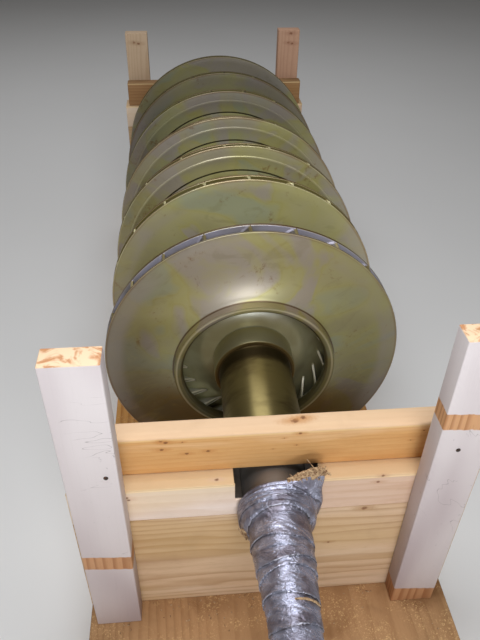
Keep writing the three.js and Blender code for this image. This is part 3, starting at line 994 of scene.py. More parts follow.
@dataclass
class Wheel:
    """One covered wheel: a disc with swept blades, and the cover joined over them. Millimetres, along
    Y from the front of the cover's rim."""

    stage: Stage
    finish: StainedSteel
    tones: SlotTones
    radius: float = 310.0
    eye_front: float = 39.5
    eye_ring: float = 168.0
    bore: float = 65.6
    hub_radius: float = 84.0
    hub_step: float = 20.0
    hub_tail: float = 38.0
    inlet_hub: float = 143.0
    inlet_cover: float = 166.0
    wrap: float = math.radians(41.4)
    lean: float = math.radians(13.8)
    blade_points: int = 13
    blade_slant: float = math.radians(40.0)
    weld_reach: float = 6.0
    weld_rise: float = 3.5

    @property
    def plane(self) -> float:
        """Where the front of the cover's rim lies along Y, in metres."""
        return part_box(f"wheel_{self.stage.number}_cover")[0].y + self.eye_front / 1000.0

    @property
    def disc_front(self) -> float:
        """The disc's front face, which the blades stand on."""
        return self.stage.cover + self.stage.slot

    def cover_back(self) -> Outline:
        """The cover's inner face, from the rim to the eye."""
        face, cone = self.stage.cover, self.stage.cone
        flat = [(309.5, face), (300.0, face), (262.0, face - cone * 0.28), (215.0, face - cone * 0.66)]
        throat = [(182.0, 0.0), (174.0, 1.8), (166.0, 5.2), (158.0, 10.4), (151.5, 19.0), (149.0, 25.0)]
        return flat + [(radius, face - cone - drop) for radius, drop in throat]

    def cover_front(self) -> Outline:
        """The cover's outer face: the eye's lip, the hollow flare and the land near the rim."""
        cone = self.stage.cone
        lip = [(149, -29), (149.6, -32), (152, -35), (156.5, -38), (162, -39.3), (166, -39.5)]
        lip += [(167.5, -39), (168, -37.5), (168, -26 - cone / 2), (169, -22.8 - cone / 2)]
        flare = [(172, -20.4), (180, -16.9), (190, -13.4), (200, -10.4), (213, -7.2), (228, -4.6)]
        flare += [(244, -2.9)]
        land = [(262, -1.9 - cone / 8)]
        rim = [(276, -1.3 - cone / 16), (288, -0.9), (297, -0.4), (303, 0), (309.0, 0), (310, 0.9)]
        if self.finish.grooved:
            land = [(249.2, -2.5 - cone / 8), (249.8, 0.3), (252.6, 0.4), (253.2, -2.4 - cone / 8)]
            rim = [(280, -1.4 - cone / 16), (281.5, -2.5), (284.5, -2.4), (286, -0.8), (291, -0.4)]
            rim += [(296, 0), (309.0, 0), (310, 0.9)]
        lean = [(r, y - cone / 8 - cone * 0.375 * (262 - r) / 94) for r, y in flare]
        return lip + lean + land + rim

    def disc_outline(self) -> Outline:
        """The disc with its hub, from the bore round the outside and back to the bore."""
        front, bore, hub = self.disc_front, self.bore, self.hub_radius
        back = front + self.stage.disc
        step = front - self.hub_step
        tail = back + self.hub_tail
        nose = [(bore, step + 1.5), (bore + 1.5, step), (hub - 2, step), (hub - 0.5, step + 0.6)]
        nose += [(hub, step + 2)]
        bell = [(86, step + 2.6), (92, step + 3.6), (100, step + 5.2), (108, step + 7.4), (114, step + 10.0)]
        bell += [(120, step + 13.4), (126, step + 16.6), (133, step + 18.6), (142, front - 0.3), (150, front)]
        rim = [(309, front), (310, front + 1), (310, back - 1), (309, back), (285, back), (230, back + 1.2)]
        rear = [(190, back + 3), (158, back + 5.5), (132, back + 9), (112, back + 13.5), (103, back + 18)]
        rear += [(99, back + 24), (96.6, back + 31), (96, tail - 2), (94.5, tail), (bore + 1.5, tail)]
        return nose + bell + rim + rear + [(bore, tail - 1.5)]

    def _cover_line(self, radius: float) -> float:
        """How far back the cover's inner face lies at a radius."""
        back = self.cover_back()
        for (outer, near), (inner, far) in zip(back, back[1:]):
            if inner <= radius <= outer:
                return near + (far - near) * (outer - radius) / (outer - inner)
        return back[0][1] if radius > back[0][0] else back[-1][1]

    def _on_wheel(self, radius: float, angle: float, along: float) -> Vector:
        """A point of this wheel, from its radius, its angle and how far it is behind the cover's rim."""
        x, z = radius * math.cos(angle), radius * math.sin(angle)
        return Vector((x / 1000.0, self.plane + along / 1000.0, AXIS_Z + z / 1000.0))

    def _curve(self, inlet: float, tip: float, wrap: float) -> Iterator[tuple[float, float]]:
        """The radius and the angle at each point of a blade's curve, from the eye to the rim."""
        for i in range(self.blade_points):
            share = i / (self.blade_points - 1)
            yield inlet * (tip / inlet) ** share, math.radians(self.stage.phase) + wrap * (1.0 - share)

    def _fillet(self) -> Piece:
        """The weld fillet in the corner between one blade and the disc."""
        side = self.stage.blade / 2.0 / math.sin(self.blade_slant)
        height = min(self.weld_rise, 0.3 * self.stage.slot)
        piece = new_piece("blade_fillet")
        with editing(piece):
            for out, rise in ((side - 1.5, 0.6), (side + self.weld_reach, 0.2), (side - 1.0, -height)):
                curve = self._curve(self.inlet_cover, self.radius - 1.5, self.wrap)
                draw_chain([self._on_wheel(r, angle + out / r, self.disc_front + rise) for r, angle in curve])
            select_mesh()
            bpy.ops.mesh.bridge_edge_loops(type="CLOSED", interpolation="LINEAR")
            select_mesh()
            bpy.ops.mesh.fill_holes(sides=4)
            tidy_shell()
        return piece

    def _plate(self) -> Piece:
        """One blade: a plate ruled from its foot on the disc to its head on the cover, thickened."""
        tip = self.radius - 1.2
        foot = self._curve(self.inlet_hub, tip, self.wrap + self.lean)
        head = self._curve(self.inlet_cover, tip, self.wrap)
        piece = new_piece("blade_ring")
        with editing(piece):
            draw_chain([self._on_wheel(r, angle, self.disc_front + 0.8) for r, angle in foot])
            draw_chain([self._on_wheel(r, angle, self._cover_line(r) - 0.5) for r, angle in head])
            select_mesh()
            bpy.ops.mesh.bridge_edge_loops(number_cuts=2, interpolation="LINEAR")
            select_mesh()
            bpy.ops.mesh.normals_make_consistent(inside=False)
        apply_modifier(piece, "SOLIDIFY", thickness=self.stage.blade / 1000.0, offset=0.0)
        ease_edges(piece, 0.0006, segments=1, angle=50.0)
        return piece

    def blades(self) -> Piece:
        """All the blades with their fillets: one of them spun round the axis."""
        piece = join([self._plate(), self._fillet()], "blade_ring")
        others = self.stage.blades - 1
        with editing(piece):
            select_mesh()
            bpy.ops.mesh.spin(
                dupli=True,
                steps=others,
                angle=TURN * others / self.stage.blades,
                center=AXIS,
                axis=(0.0, 1.0, 0.0),
                use_auto_merge=False,
            )
            select_mesh()
            bpy.ops.mesh.normals_make_consistent(inside=False)
        smooth(piece, 30.0)
        return piece

    def build(self) -> None:
        """Builds and dresses the disc with its blades, and the cover."""
        wheel = f"wheel_{self.stage.number}"
        front = self.plane + self.disc_front / 1000.0
        steel = self.finish.disc(f"{wheel}_passage_steel", front, self.plane, self.tones)
        disc = turned(f"{wheel}_disc", self.disc_outline(), self.plane)
        disc = join([disc, self.blades()], f"{wheel}_blades_on_disc")
        settle(disc, ROTOR, "wheel_steel", steel, f"{wheel}_bladed_disc")
        cover = turned(f"{wheel}_turned_cover", self.cover_front() + self.cover_back(), self.plane)
        steel = self.finish.cover(f"{wheel}_stained_steel", self.eye_ring / 1000.0)
        settle(cover, ROTOR, "wheel_steel", steel, f"{wheel}_cover")


@dataclass
class ShaftLine:
    """What else is threaded on the shaft, and the shaft itself. Millimetres."""

    bore: float = 65.6
    shaft_radius: float = 65.0
    sleeve_radius: float = 74.0
    nose_radius: float = 84.0
    nose_length: float = 49.0
    drum_radius: float = 150.0
    drum_grooves: int = 14
    nut_radius: float = 90.0
    nut_slots: int = 6
    slot_width: float = 16.0
    slot_depth: float = 12.0
    browned: TurnedSteel = TurnedSteel(srgb(134, 120, 76), srgb(80, 64, 36), stain_share=0.55, metallic=0.85)
    journal: TurnedSteel = TurnedSteel(srgb(136, 130, 124), srgb(104, 88, 74), roughness=0.42)
    bright: TurnedSteel = TurnedSteel(srgb(176, 174, 164), srgb(120, 110, 88), stain_share=0.4, seed=3)

    def _ends(self, node: str) -> tuple[float, float]:
        """Where a solid begins and ends along Y."""
        low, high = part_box(node)
        return low.y * 1000.0, high.y * 1000.0

    def shaft(self, steel: Material) -> None:
        """The stepped shaft with its chamfers, fillets and centre holes, the same at both ends."""
        end = [(0, 1186), (3, 1189), (7, 1197), (10, 1200), (29.5, 1200), (32, 1197.5), (32, 1024)]
        stub = [(33, 1021), (43, 986.5), (44, 983), (44, 934.5), (45.5, 932), (54, 931), (58.5, 931)]
        journal = [(60, 929.5), (60, 832), (61.5, 829.8), (64, 829), (65, 828), (65, 600), (65, 300)]
        half = end + stub + journal
        outline = [(radius, -along) for radius, along in half] + [(self.shaft_radius, 0.0)] + half[::-1]
        settle(turned("stepped_shaft", outline, steps=128), ROTOR, "shaft_steel", steel, "shaft")

    def sleeve(self, node: str, steel: Material) -> None:
        """A spacer sleeve with its thicker nose, to the length of its solid."""
        low, high = self._ends(node)
        shoulder = high - self.nose_length
        outer, nose, bore = self.sleeve_radius, self.nose_radius, self.bore
        outline = [(bore, low + 1), (bore + 1, low), (outer - 1.5, low), (outer, low + 1.5)]
        outline += [(outer, shoulder - 4), (outer + 1.2, shoulder - 1.2), (outer + 4, shoulder)]
        outline += [(nose - 2.4, shoulder), (nose - 0.7, shoulder + 0.7), (nose, shoulder + 2.4)]
        outline += [(nose, high - 1), (nose - 1, high), (bore + 1, high), (bore, high - 1)]
        settle(turned(f"{node}_turned", outline, steps=128), ROTOR, "shaft_steel", steel, node)

    def drum(self, steel: Material) -> None:
        """The balance drum, with sealing grooves round it and a dished rear face."""
        low, high = self._ends("balance_drum")
        radius, bore = self.drum_radius, self.bore
        outline = [(bore, low + 1), (bore + 1, low), (radius - 2, low), (radius, low + 2)]
        pitch = (high - low - 20.0) / self.drum_grooves
        for i in range(self.drum_grooves):
            start = low + 10.0 + i * pitch
            groove = ((0, 0), (3, 1.2), (3, 3.4), (0, 4.6))
            outline += [(radius - depth, start + along) for depth, along in groove]
        outline += [(radius, high - 2), (radius - 2, high), (128, high), (122, high - 5), (104, high - 8)]
        outline += [(98, high - 6), (96, high), (bore + 1, high), (bore, high - 1)]
        settle(turned("balance_drum_grooved", outline), ROTOR, "bright_steel", steel, "balance_drum")

    def locknut(self, steel: Material) -> None:
        """The locknut, with the slots that its spanner turns it by."""
        low, high = self._ends("locknut")
        radius, bore = self.nut_radius, self.bore
        outline = [(bore, low + 1), (bore + 1, low), (radius - 2.5, low), (radius, low + 2.5)]
        outline += [(radius, high - 2.5), (radius - 2.5, high), (bore + 1.5, high), (bore, high - 1.5)]
        piece = turned("slotted_locknut", outline, steps=144)
        for i in range(self.nut_slots):
            angle = TURN * i / self.nut_slots
            deselect()
            middle = AXIS + Vector((math.sin(angle), 0.0, math.cos(angle))) * radius / 1000.0
            middle.y = (low + high) / 2000.0
            bpy.ops.mesh.primitive_cube_add(size=1.0, location=middle, rotation=(0.0, angle, 0.0))
            cutter = bpy.context.object
            cutter.scale = mm((self.slot_width, high - low + 4.0, 2.0 * self.slot_depth))[0]
            cut_away(piece, cutter)
        ease_edges(piece, 0.0006, segments=1, angle=50.0)
        smooth(piece)
        settle(piece, ROTOR, "bright_steel", steel, "locknut")

    def build(self) -> None:
        """Builds and dresses every piece of the line."""
        browned = self.browned.material("oiled_shaft_steel")
        bright = self.bright.material("bright_turned_steel")
        self.shaft(self.journal.material("journal_steel"))
        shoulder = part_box("front_sleeve")[1].y - self.nose_length / 1000.0
        banded = replace(self.browned, dark_band=(shoulder - 0.034, shoulder), seed=1)
        self.sleeve("front_sleeve", banded.material("banded_sleeve_steel"))
        for i in range(1, 7):
            self.sleeve(f"spacer_sleeve_{i}", browned)
        self.drum(bright)
        self.locknut(bright)


@dataclass(frozen=True)
class Lump:
    """A swelling under the tape: its place, its spread along and round the shaft, and its height.
    Millimetres, and degrees from the top towards +X."""

    along: float
    angle: float
    reach: float
    spread: float
    height: float

    def rise(self, along: float, angle: float) -> float:
        """How far it lifts the tape at a place."""
        off = (angle - math.radians(self.angle) + math.pi) % TURN - math.pi
        away = ((along - self.along) / self.reach) ** 2 + (off / math.radians(self.spread)) ** 2
        return self.height * math.exp(-away)


@dataclass(frozen=True)
class Crease:
    """A drawn-in line in the tape: where it starts, how far round it runs, how far it slants along the
    shaft for each degree, and its depth and half width. Millimetres and degrees."""

    along: float
    angle: float
    run: float
    slant: float
    depth: float
    width: float = 1.5

    def rise(self, along: float, angle: float) -> float:
        """How far it draws the tape in at a place, as a negative height."""
        share = (math.degrees((angle + math.pi) % TURN - math.pi) - self.angle) / self.run
        if not 0.0 < share < 1.0:
            return 0.0
        off = along - self.along - self.slant * share * self.run
        return -self.depth * math.sin(math.pi * share) ** 0.5 * math.exp(-((off / self.width) ** 2))


@dataclass(frozen=True)
class Pucker:
    """Fine folds drawn out at a slant, with sharp crests and round valleys between them: their height,
    their angle to the shaft in radians, and how long and wide they are. Millimetres."""

    height: float
    turn: float
    length: float
    width: float

    def rise(self, along: float, around: float, seed: int) -> float:
        """How far they lift the tape at a place."""
        out = along * math.cos(self.turn) + around * math.sin(self.turn)
        over = around * math.cos(self.turn) - along * math.sin(self.turn)
        cloud = noise.noise(Vector((out / self.length, over / self.width, seed + 7.0 * self.turn)))
        return self.height * (1.0 - 2.4 * abs(cloud))


@dataclass
class TapeWrap:
    """Padding wound on a shaft end and covered in silver cloth tape, from the journal outwards: a fat
    collar, and beyond it a long wrap. Millimetres; the outline is distance from the part's middle and
    outer radius, and the edges are where each turn of the tape begins."""

    end: str
    side: int
    seed: int
    lumps: tuple[Lump, ...]
    creases: tuple[Crease, ...] = ()
    outline: tuple[tuple[float, float], ...] = (
        *((929, 62), (931, 63.8), (936, 64.5), (950, 63.5), (960, 61.5), (966, 58.5), (970, 53), (975, 50.5)),
        *((990, 50), (1024, 48), (1057, 44.5), (1089, 41.5), (1119, 39.2), (1145, 38), (1166, 37)),
        (1171.5, 34.8),
    )
    edges: tuple[float, ...] = (924.0, 949.0, 972.0, 1008.0, 1043.0, 1064.0, 1100.0, 1140.0, 1180.0)
    columns: int = 224
    row: float = 1.3
    collar_end: float = 944.0
    inner: float = 33.0
    lap: float = 2.2
    swell: float = 1.2
    sunk: float = 1.0
    puckers: tuple[Pucker, ...] = (
        Pucker(0.45, turn=0.9, length=40.0, width=8.5),
        Pucker(0.35, turn=1.25, length=30.0, width=5.0),
        Pucker(0.16, turn=-0.4, length=16.0, width=3.4),
    )

    def _radius(self, along: float) -> float:
        """The padding's radius at a distance from the middle."""
        for (start, near), (end, far) in zip(self.outline, self.outline[1:]):
            if along <= end:
                share = (along - start) / (end - start)
                return near + (far - near) * max(0.0, share)
        return self.outline[-1][1]

    def _edge(self, number: int, angle: float) -> float:
        """Where one of the tape's edges lies at an angle: each is slanted in its own way."""
        slant = 6.0 * math.sin(angle + 1.9 * number + self.seed) + 1.2 * math.sin(3.0 * angle + 2.3 * number)
        return self.edges[number] + slant

    def _wound(self, along: float, angle: float) -> float:
        """Which turn of the tape covers a place, and how far across it the place lies, as one number."""
        for number in range(len(self.edges) - 1):
            start, end = self._edge(number, angle), self._edge(number + 1, angle)
            if along < end:
                return number + max(0.0, min(0.999, (along - start) / (end - start)))
        return len(self.edges) - 1.0

    def _relief(self, along: float, angle: float) -> float:
        """How far the tape stands off the padding: laps, a slow swell, puckers and creases."""
        around = angle * self._radius(along)
        point = Vector((math.cos(angle) * 1.7, math.sin(angle) * 1.7, along / 30.0 + 9.0 * self.seed))
        lapped = self.lap * (self._wound(along, angle) % 1.0) ** 1.5
        swell = self.swell * noise.noise(point)
        folds = sum(pucker.rise(along, around, self.seed) for pucker in self.puckers)
        drawn_in = sum(crease.rise(along, angle) for crease in self.creases)
        return lapped + swell + folds + drawn_in - self.sunk

    def surface(self, along: float, angle: float) -> float:
        """The padding's radius at a place, with its lumps, before the tape's folds."""
        return self._radius(along) + sum(lump.rise(along, angle) for lump in self.lumps)

    def _skin(self) -> Outline:
        """The wound form's outer line, in short steps."""
        along, end = self.outline[0][0], self.outline[-1][0]
        places = []
        while along < end:
            places.append(along)
            along += self.row * (0.5 if along < self.collar_end else 1.0)
        return [(self._radius(along), along) for along in places + [end]]

    def _raise(self, piece: Piece) -> None:
        """Raises the laps, folds and lumps of the wound form's outer face."""
        start, end = self.outline[0][0], self.outline[-1][0]
        for vertex in piece.data.vertices:
            offset = vertex.co - AXIS
            along = abs(offset.y) * 1000.0
            flat = Vector((offset.x, 0.0, offset.z))
            if flat.length * 1000.0 < self._radius(along) - 0.5:
                continue
            angle = math.atan2(flat.x, flat.z)
            fade = max(0.0, min(1.0, (along - start) / 4.0, (end - along) / 4.0))
            lumps = self.surface(along, angle) - self._radius(along)
            vertex.co += flat.normalized() * (self._relief(along, angle) * fade + lumps) / 1000.0

    def build(self, tape: Material) -> None:
        """Builds the wound form, numbers the tape's turns over it, and dresses it."""
        start, end = self.outline[0][0], self.outline[-1][0]
        lining = [(self.inner, end), (self.inner, 1022.0), (44.8, 986.0), (44.8, 932.4), (60.5, 931.6)]
        chain = [(radius, self.side * along) for radius, along in self._skin() + lining + [(60.5, start)]]
        piece = turned(f"{self.end}_wound_tape", chain, steps=self.columns)
        self._raise(piece)
        turns = piece.data.attributes.new("wound", "FLOAT", "POINT")
        for vertex, value in zip(piece.data.vertices, turns.data):
            offset = vertex.co - AXIS
            value.value = self._wound(abs(offset.y) * 1000.0, math.atan2(offset.x, offset.z))
        smooth(piece, 60.0)
        settle(piece, ROTOR, "silver_tape", tape, f"{self.end}_tape_wrap")


@dataclass(frozen=True)
class Tear:
    """A place where the tape has split and the padding shows: its start and depth along the shaft, the
    angles that it lies between, in degrees from the top towards +X, how far its padding is crumpled,
    and the count and length of the splinters in it. Millimetres."""

    start: float
    depth: float
    first: float
    last: float
    crumple: float
    splinters: int
    length: float


@dataclass
class TornPadding:
    """Padding that has burst through the front tape: crumpled strips in the tears, loose splinters
    along them, and one long chip that stands up from the collar's ear. Millimetres; the chip is given
    by its foot and its tip, from the shaft's axis."""

    wrap: TapeWrap
    tears: tuple[Tear, ...] = (
        Tear(928.4, 6.4, 10.0, 43.0, crumple=2.8, splinters=38, length=16.0),
        Tear(963.0, 7.0, -116.0, -88.0, crumple=1.2, splinters=8, length=9.0),
        Tear(1108.0, 2.8, 0.0, 76.0, crumple=0.5, splinters=0, length=0.0),
    )
    chip: tuple[Triple, Triple] = ((57.0, -931.5, 96.0), (42.0, -931.0, 121.0))
    nearest: float = 927.2
    seed: int = 5
    columns: int = 72
    rows: int = 12

    def _place(self, along: float, angle: float, lift: float) -> Vector:
        """A point over the front tape's padding."""
        turned_by = math.radians(angle)
        radius = self.wrap.surface(along, turned_by) + lift
        flat = Vector((math.sin(turned_by), 0.0, math.cos(turned_by))) * radius
        return AXIS + (flat + Vector((0.0, -along, 0.0))) / 1000.0

    def strip(self, tear: Tear) -> Piece:
        """The crumpled padding in one tear."""
        deselect()
        bpy.ops.mesh.primitive_grid_add(x_subdivisions=self.columns, y_subdivisions=self.rows, size=2.0)
        piece = bpy.context.object
        for vertex in piece.data.vertices:
            share, depth = (vertex.co.x + 1.0) / 2.0, (vertex.co.y + 1.0) / 2.0
            ragged = 0.3 * noise.noise(Vector((share * 7.0, depth, self.seed)))
            crumple = noise.noise(Vector((share * 9.0, depth * 2.5, self.seed + 3.0)))
            fine = 0.5 * noise.noise(Vector((share * 30.0, depth * 8.0, self.seed + 8.0)))
            wide = math.sin(math.pi * min(1.0, 0.08 + 0.92 * share)) ** 0.5
            along = tear.start + tear.depth * (0.5 + (depth - 0.5 + 0.4 * ragged) * wide)
            along -= tear.crumple * (crumple + fine) * 0.5
            angle = tear.first + (tear.last - tear.first) * share
            vertex.co = self._place(along, angle, 0.5 + tear.crumple * (0.6 + crumple + fine))
        apply_modifier(piece, "SOLIDIFY", thickness=0.002, offset=0.0)
        smooth(piece, 40.0)
        return piece

    def _long_chip(self) -> Piece:
        """The long chip, from its foot to its tip."""
        foot, tip = (AXIS + Vector(point) / 1000.0 for point in self.chip)
        piece = splinter(random.Random(self.seed), (tip - foot).length * 1000.0)
        turn = Vector((1.0, 0.0, 0.0)).rotation_difference((tip - foot).normalized()).to_matrix().to_4x4()
        piece.data.transform(Matrix.Translation((foot + tip) / 2.0) @ turn)
        return piece

    def build(self, fibre: Material) -> None:
        """Builds the strips and splinters as one dressed piece, clear of the saddle."""
        chance = random.Random(self.seed)
        pieces = [self.strip(tear) for tear in self.tears]
        for tear in self.tears:
            for _ in range(tear.splinters):
                along = tear.start + tear.depth * chance.uniform(0.1, 1.0)
                root = self._place(along, chance.uniform(tear.first, tear.last), chance.uniform(1.5, 5.0))
                pieces.append(strewn_splinter(chance, tear.length * chance.uniform(0.45, 1.2), root))
        torn = join(pieces + [self._long_chip()], "front_torn_padding")
        for vertex in torn.data.vertices:
            vertex.co.y = min(vertex.co.y, -self.nearest / 1000.0)
        settle(torn, ROTOR, "silver_tape", fibre)


# ---- Cradle

PALE_PINE = Pine(Grain.ACROSS, pith=(0.9, 0.25))
BEAM_PINE = Pine(
    Grain.ACROSS,
    pith=(-0.80, 0.02),
    ring=0.0075,
    early=srgb(214, 164, 104),
    late=srgb(194, 134, 74),
    contrast=0.24,
    dirt=0.08,
    crown=(0.1455, srgb(232, 200, 166)),
    pale=srgb(234, 196, 152),
)
# A darker copy of the beam's pine for the rear end: painted shade for the rear of the cradle.
SHADED_REAR_BEAM_PINE = replace(
    BEAM_PINE,
    pith=(0.8, 0.06),
    early=srgb(158, 118, 76),
    late=srgb(124, 86, 50),
    contrast=0.4,
    crown=(0.1455, srgb(150, 116, 78)),
    pale=srgb(170, 132, 92),
    gilt=srgb(160, 120, 68),
)
BLOCK_PINE = replace(
    PALE_PINE,
    ring=0.012,
    contrast=0.26,
    dirt=0.1,
    crown=(0.0625, srgb(214, 178, 126)),
    gilt=srgb(226, 200, 158),
    shaded_notch=True,
)
BLOCK_TONES = {
    "left": {"early": srgb(230, 208, 190), "late": srgb(214, 182, 154), "pale": srgb(238, 222, 212)},
    "right": {"early": srgb(216, 184, 158), "late": srgb(192, 150, 118), "pale": srgb(222, 194, 172)},
}
PLANK_PINE = replace(
    PALE_PINE,
    ring=0.0044,
    early=srgb(204, 172, 138),
    late=srgb(164, 126, 84),
    contrast=0.58,
    dirt=0.12,
    pale=srgb(214, 188, 160),
    gilt=srgb(188, 152, 96),
    shaded_notch=True,
)
SOLE_PINE = replace(
    PALE_PINE,
    grain=Grain.LENGTHWISE,
    pith=(0.1, -0.9),
    contrast=0.4,
    early=srgb(180, 138, 96),
    late=srgb(146, 104, 66),
)
POST_PINE = Pine(Grain.UPRIGHT, early=srgb(210, 160, 114), late=srgb(166, 110, 66))
DECK_PINE = Pine(
    Grain.LENGTHWISE,
    pith=(0.05, -0.9),
    ring=0.008,
    early=srgb(206, 150, 84),
    late=srgb(164, 104, 50),
    seed=21,
)
SKID_PINE = Pine(Grain.LENGTHWISE, early=srgb(218, 170, 108), late=srgb(170, 112, 58))


@dataclass
class Saddle:
    """One end's stack of timbers: sole, notched plank, two blocks, clamping beam and two posts. For each
    post without paint, bare_posts holds how its wood differs from the wood under the paint."""

    end: str
    side: int
    seed: int
    beam: Pine = BEAM_PINE
    beam_knots: tuple[Knot, ...] = ()
    block_knots: tuple[Knot, ...] = ()
    plank_knots: tuple[Knot, ...] = ()
    post_bands: dict[str, tuple[BareBand, ...]] = field(default_factory=dict)
    bare_posts: dict[str, dict[str, object]] = field(default_factory=dict)
    edge: float = 0.0025

    def _cut(self, part: str) -> Piece:
        """A timber with a notch cut in it: its solid's own outline, merged and with worn edges."""
        piece = placed_copy(frame["nodes"][f"{self.end}_{part}"], Matrix.Identity(4))
        piece.parent = None
        piece.name = piece.data.name = f"{self.end}_{part}_cut"
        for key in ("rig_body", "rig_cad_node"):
            if key in piece:
                del piece[key]
        with editing(piece):
            tidy_shell(1e-4)
            bpy.ops.mesh.dissolve_limited(angle_limit=math.radians(1.0))
        ease_edges(piece, self.edge, segments=3, angle=50.0)
        smooth(piece)
        return piece

    def _dress(self, part: str, piece: Piece, finish: Union[Pine, DeckBoard], timber: str) -> None:
        """Settles one timber in its solid's place, in a material named after the timber."""
        material = finish.material(f"{self.end}_{timber}_pine")
        settle(piece, CRADLE, "pine", material, f"{self.end}_{part}")

    def _post(self, hand: str) -> None:
        """One post: white paint, or bare wood where this end's posts have none."""
        name = f"{self.end}_post_{hand}"
        low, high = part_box(name)
        middle = (low + high) / 2.0
        wood = replace(POST_PINE, pith=(middle.x + 0.05, middle.y + 0.09), seed=self.seed + 11)
        post = sawn_timber(name, 0.002)
        if hand in self.bare_posts:
            material = replace(wood, **self.bare_posts[hand]).material(f"{name}_pine")
        else:
            bands = self.post_bands.get(hand, ())
            paint = PaintedPine(wood, bands, top=high.z - AXIS_Z, seed=self.seed + len(hand))
            material = paint.material(f"{name}_paint")
        settle(post, CRADLE, "painted_pine", material, name)

    def build(self) -> None:
        """Builds and dresses the stack from the top down."""
        beam = replace(self.beam, seed=self.seed, knots=self.beam_knots)
        self._dress("clamp_beam", sawn_timber(f"{self.end}_clamp_beam", 0.004), beam, "beam")
        block = replace(BLOCK_PINE, pith=(self.side * 0.80, -0.07), knots=self.block_knots)
        for (hand, tones), seed in zip(BLOCK_TONES.items(), (3, 5)):
            part = f"saddle_block_{hand}"
            wood = replace(block, seed=self.seed + seed, **tones)
            self._dress(part, self._cut(part), wood, f"block_{hand}")
        pith = (self.side * 0.62, -0.15)
        plank = replace(PLANK_PINE, pith=pith, knots=self.plank_knots, seed=self.seed + 8)
        self._dress("notched_plank", self._cut("notched_plank"), plank, "plank")
        sole = DeckBoard(replace(SOLE_PINE, seed=self.seed))
        self._dress("sole_timber", sawn_timber(f"{self.end}_sole_timber", 0.003), sole, "sole")
        for hand in ("left", "right"):
            self._post(hand)


@dataclass
class Fasteners:
    """The sunk screws that hold the front posts to the stack behind them."""

    face: float
    places: tuple[tuple[float, float], ...]
    radius: float = 0.0036

    def _model(self) -> Piece:
        """One screw head with its recess, its axis along Y and its back at the origin."""
        deselect()
        bpy.ops.mesh.primitive_cylinder_add(vertices=24, radius=self.radius, depth=0.0016)
        head = bpy.context.object
        deselect()
        recess = {"vertices": 4, "radius": self.radius * 0.5, "depth": 0.003}
        bpy.ops.mesh.primitive_cylinder_add(**recess, location=(0.0, 0.0, 0.0018))
        cut_away(head, bpy.context.object)
        ease_edges(head, 0.0004, segments=2)
        smooth(head)
        head.data.transform(Matrix.Rotation(math.pi / 2.0, 4, "X"))
        return head

    def build(self) -> None:
        """Sets a screw head at each place and dresses them as one piece."""
        model = self._model()
        heads = []
        for i, (x, height) in enumerate(self.places):
            spot = Matrix.Translation((x, self.face - 0.0002, AXIS_Z + height))
            heads.append(placed_copy(model, spot @ Matrix.Rotation(0.7 * i, 4, "Y")))
        bpy.data.objects.remove(model)
        settle(join(heads, "front_post_screws"), CRADLE, "bright_steel", ScrewIron().material("screw_iron"))


@dataclass
class Sawdust:
    """Chips and flakes left on the sole timber by the saw, thickest along the foot of the planks."""

    node: str
    foot: float
    count: int = 80
    thinning: float = 30.0
    reach: float = 0.12
    margin: float = 0.02
    seed: int = 9

    def build(self, chips: Material) -> None:
        """Strews the flakes over the sole's top as one dressed piece."""
        chance = random.Random(self.seed)
        low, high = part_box(self.node)
        flakes = []
        for _ in range(self.count):
            away = min(chance.expovariate(self.thinning), self.reach)
            across = chance.uniform(low.x + self.margin, high.x - self.margin)
            root = Vector((across, self.foot - 0.004 - away, high.z + 0.0009))
            flakes.append(strewn_splinter(chance, chance.uniform(1.4, 5.0), root))
        settle(join(flakes, f"{self.node}_sawdust"), CRADLE, "pine", chips)


def build_base() -> None:
    """Builds and dresses the deck and the three skids that the saddles stand on."""
    deck = sawn_timber("deck", 0.0015, "deck_boarding")
    settle(deck, CRADLE, "plywood", DeckBoard(DECK_PINE).material("trodden_deck"), "deck")
    for i, hand in enumerate(("left", "middle", "right")):
        node = f"skid_{hand}"
        low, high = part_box(node)
        pith = ((low + high).x / 2.0 + 0.012, -AXIS_Z + 0.05)
        wood = replace(SKID_PINE, pith=pith, seed=31 + i)
        settle(sawn_timber(node, 0.004), CRADLE, "pine", wood.material(f"{node}_pine"), node)


# ---- Studio


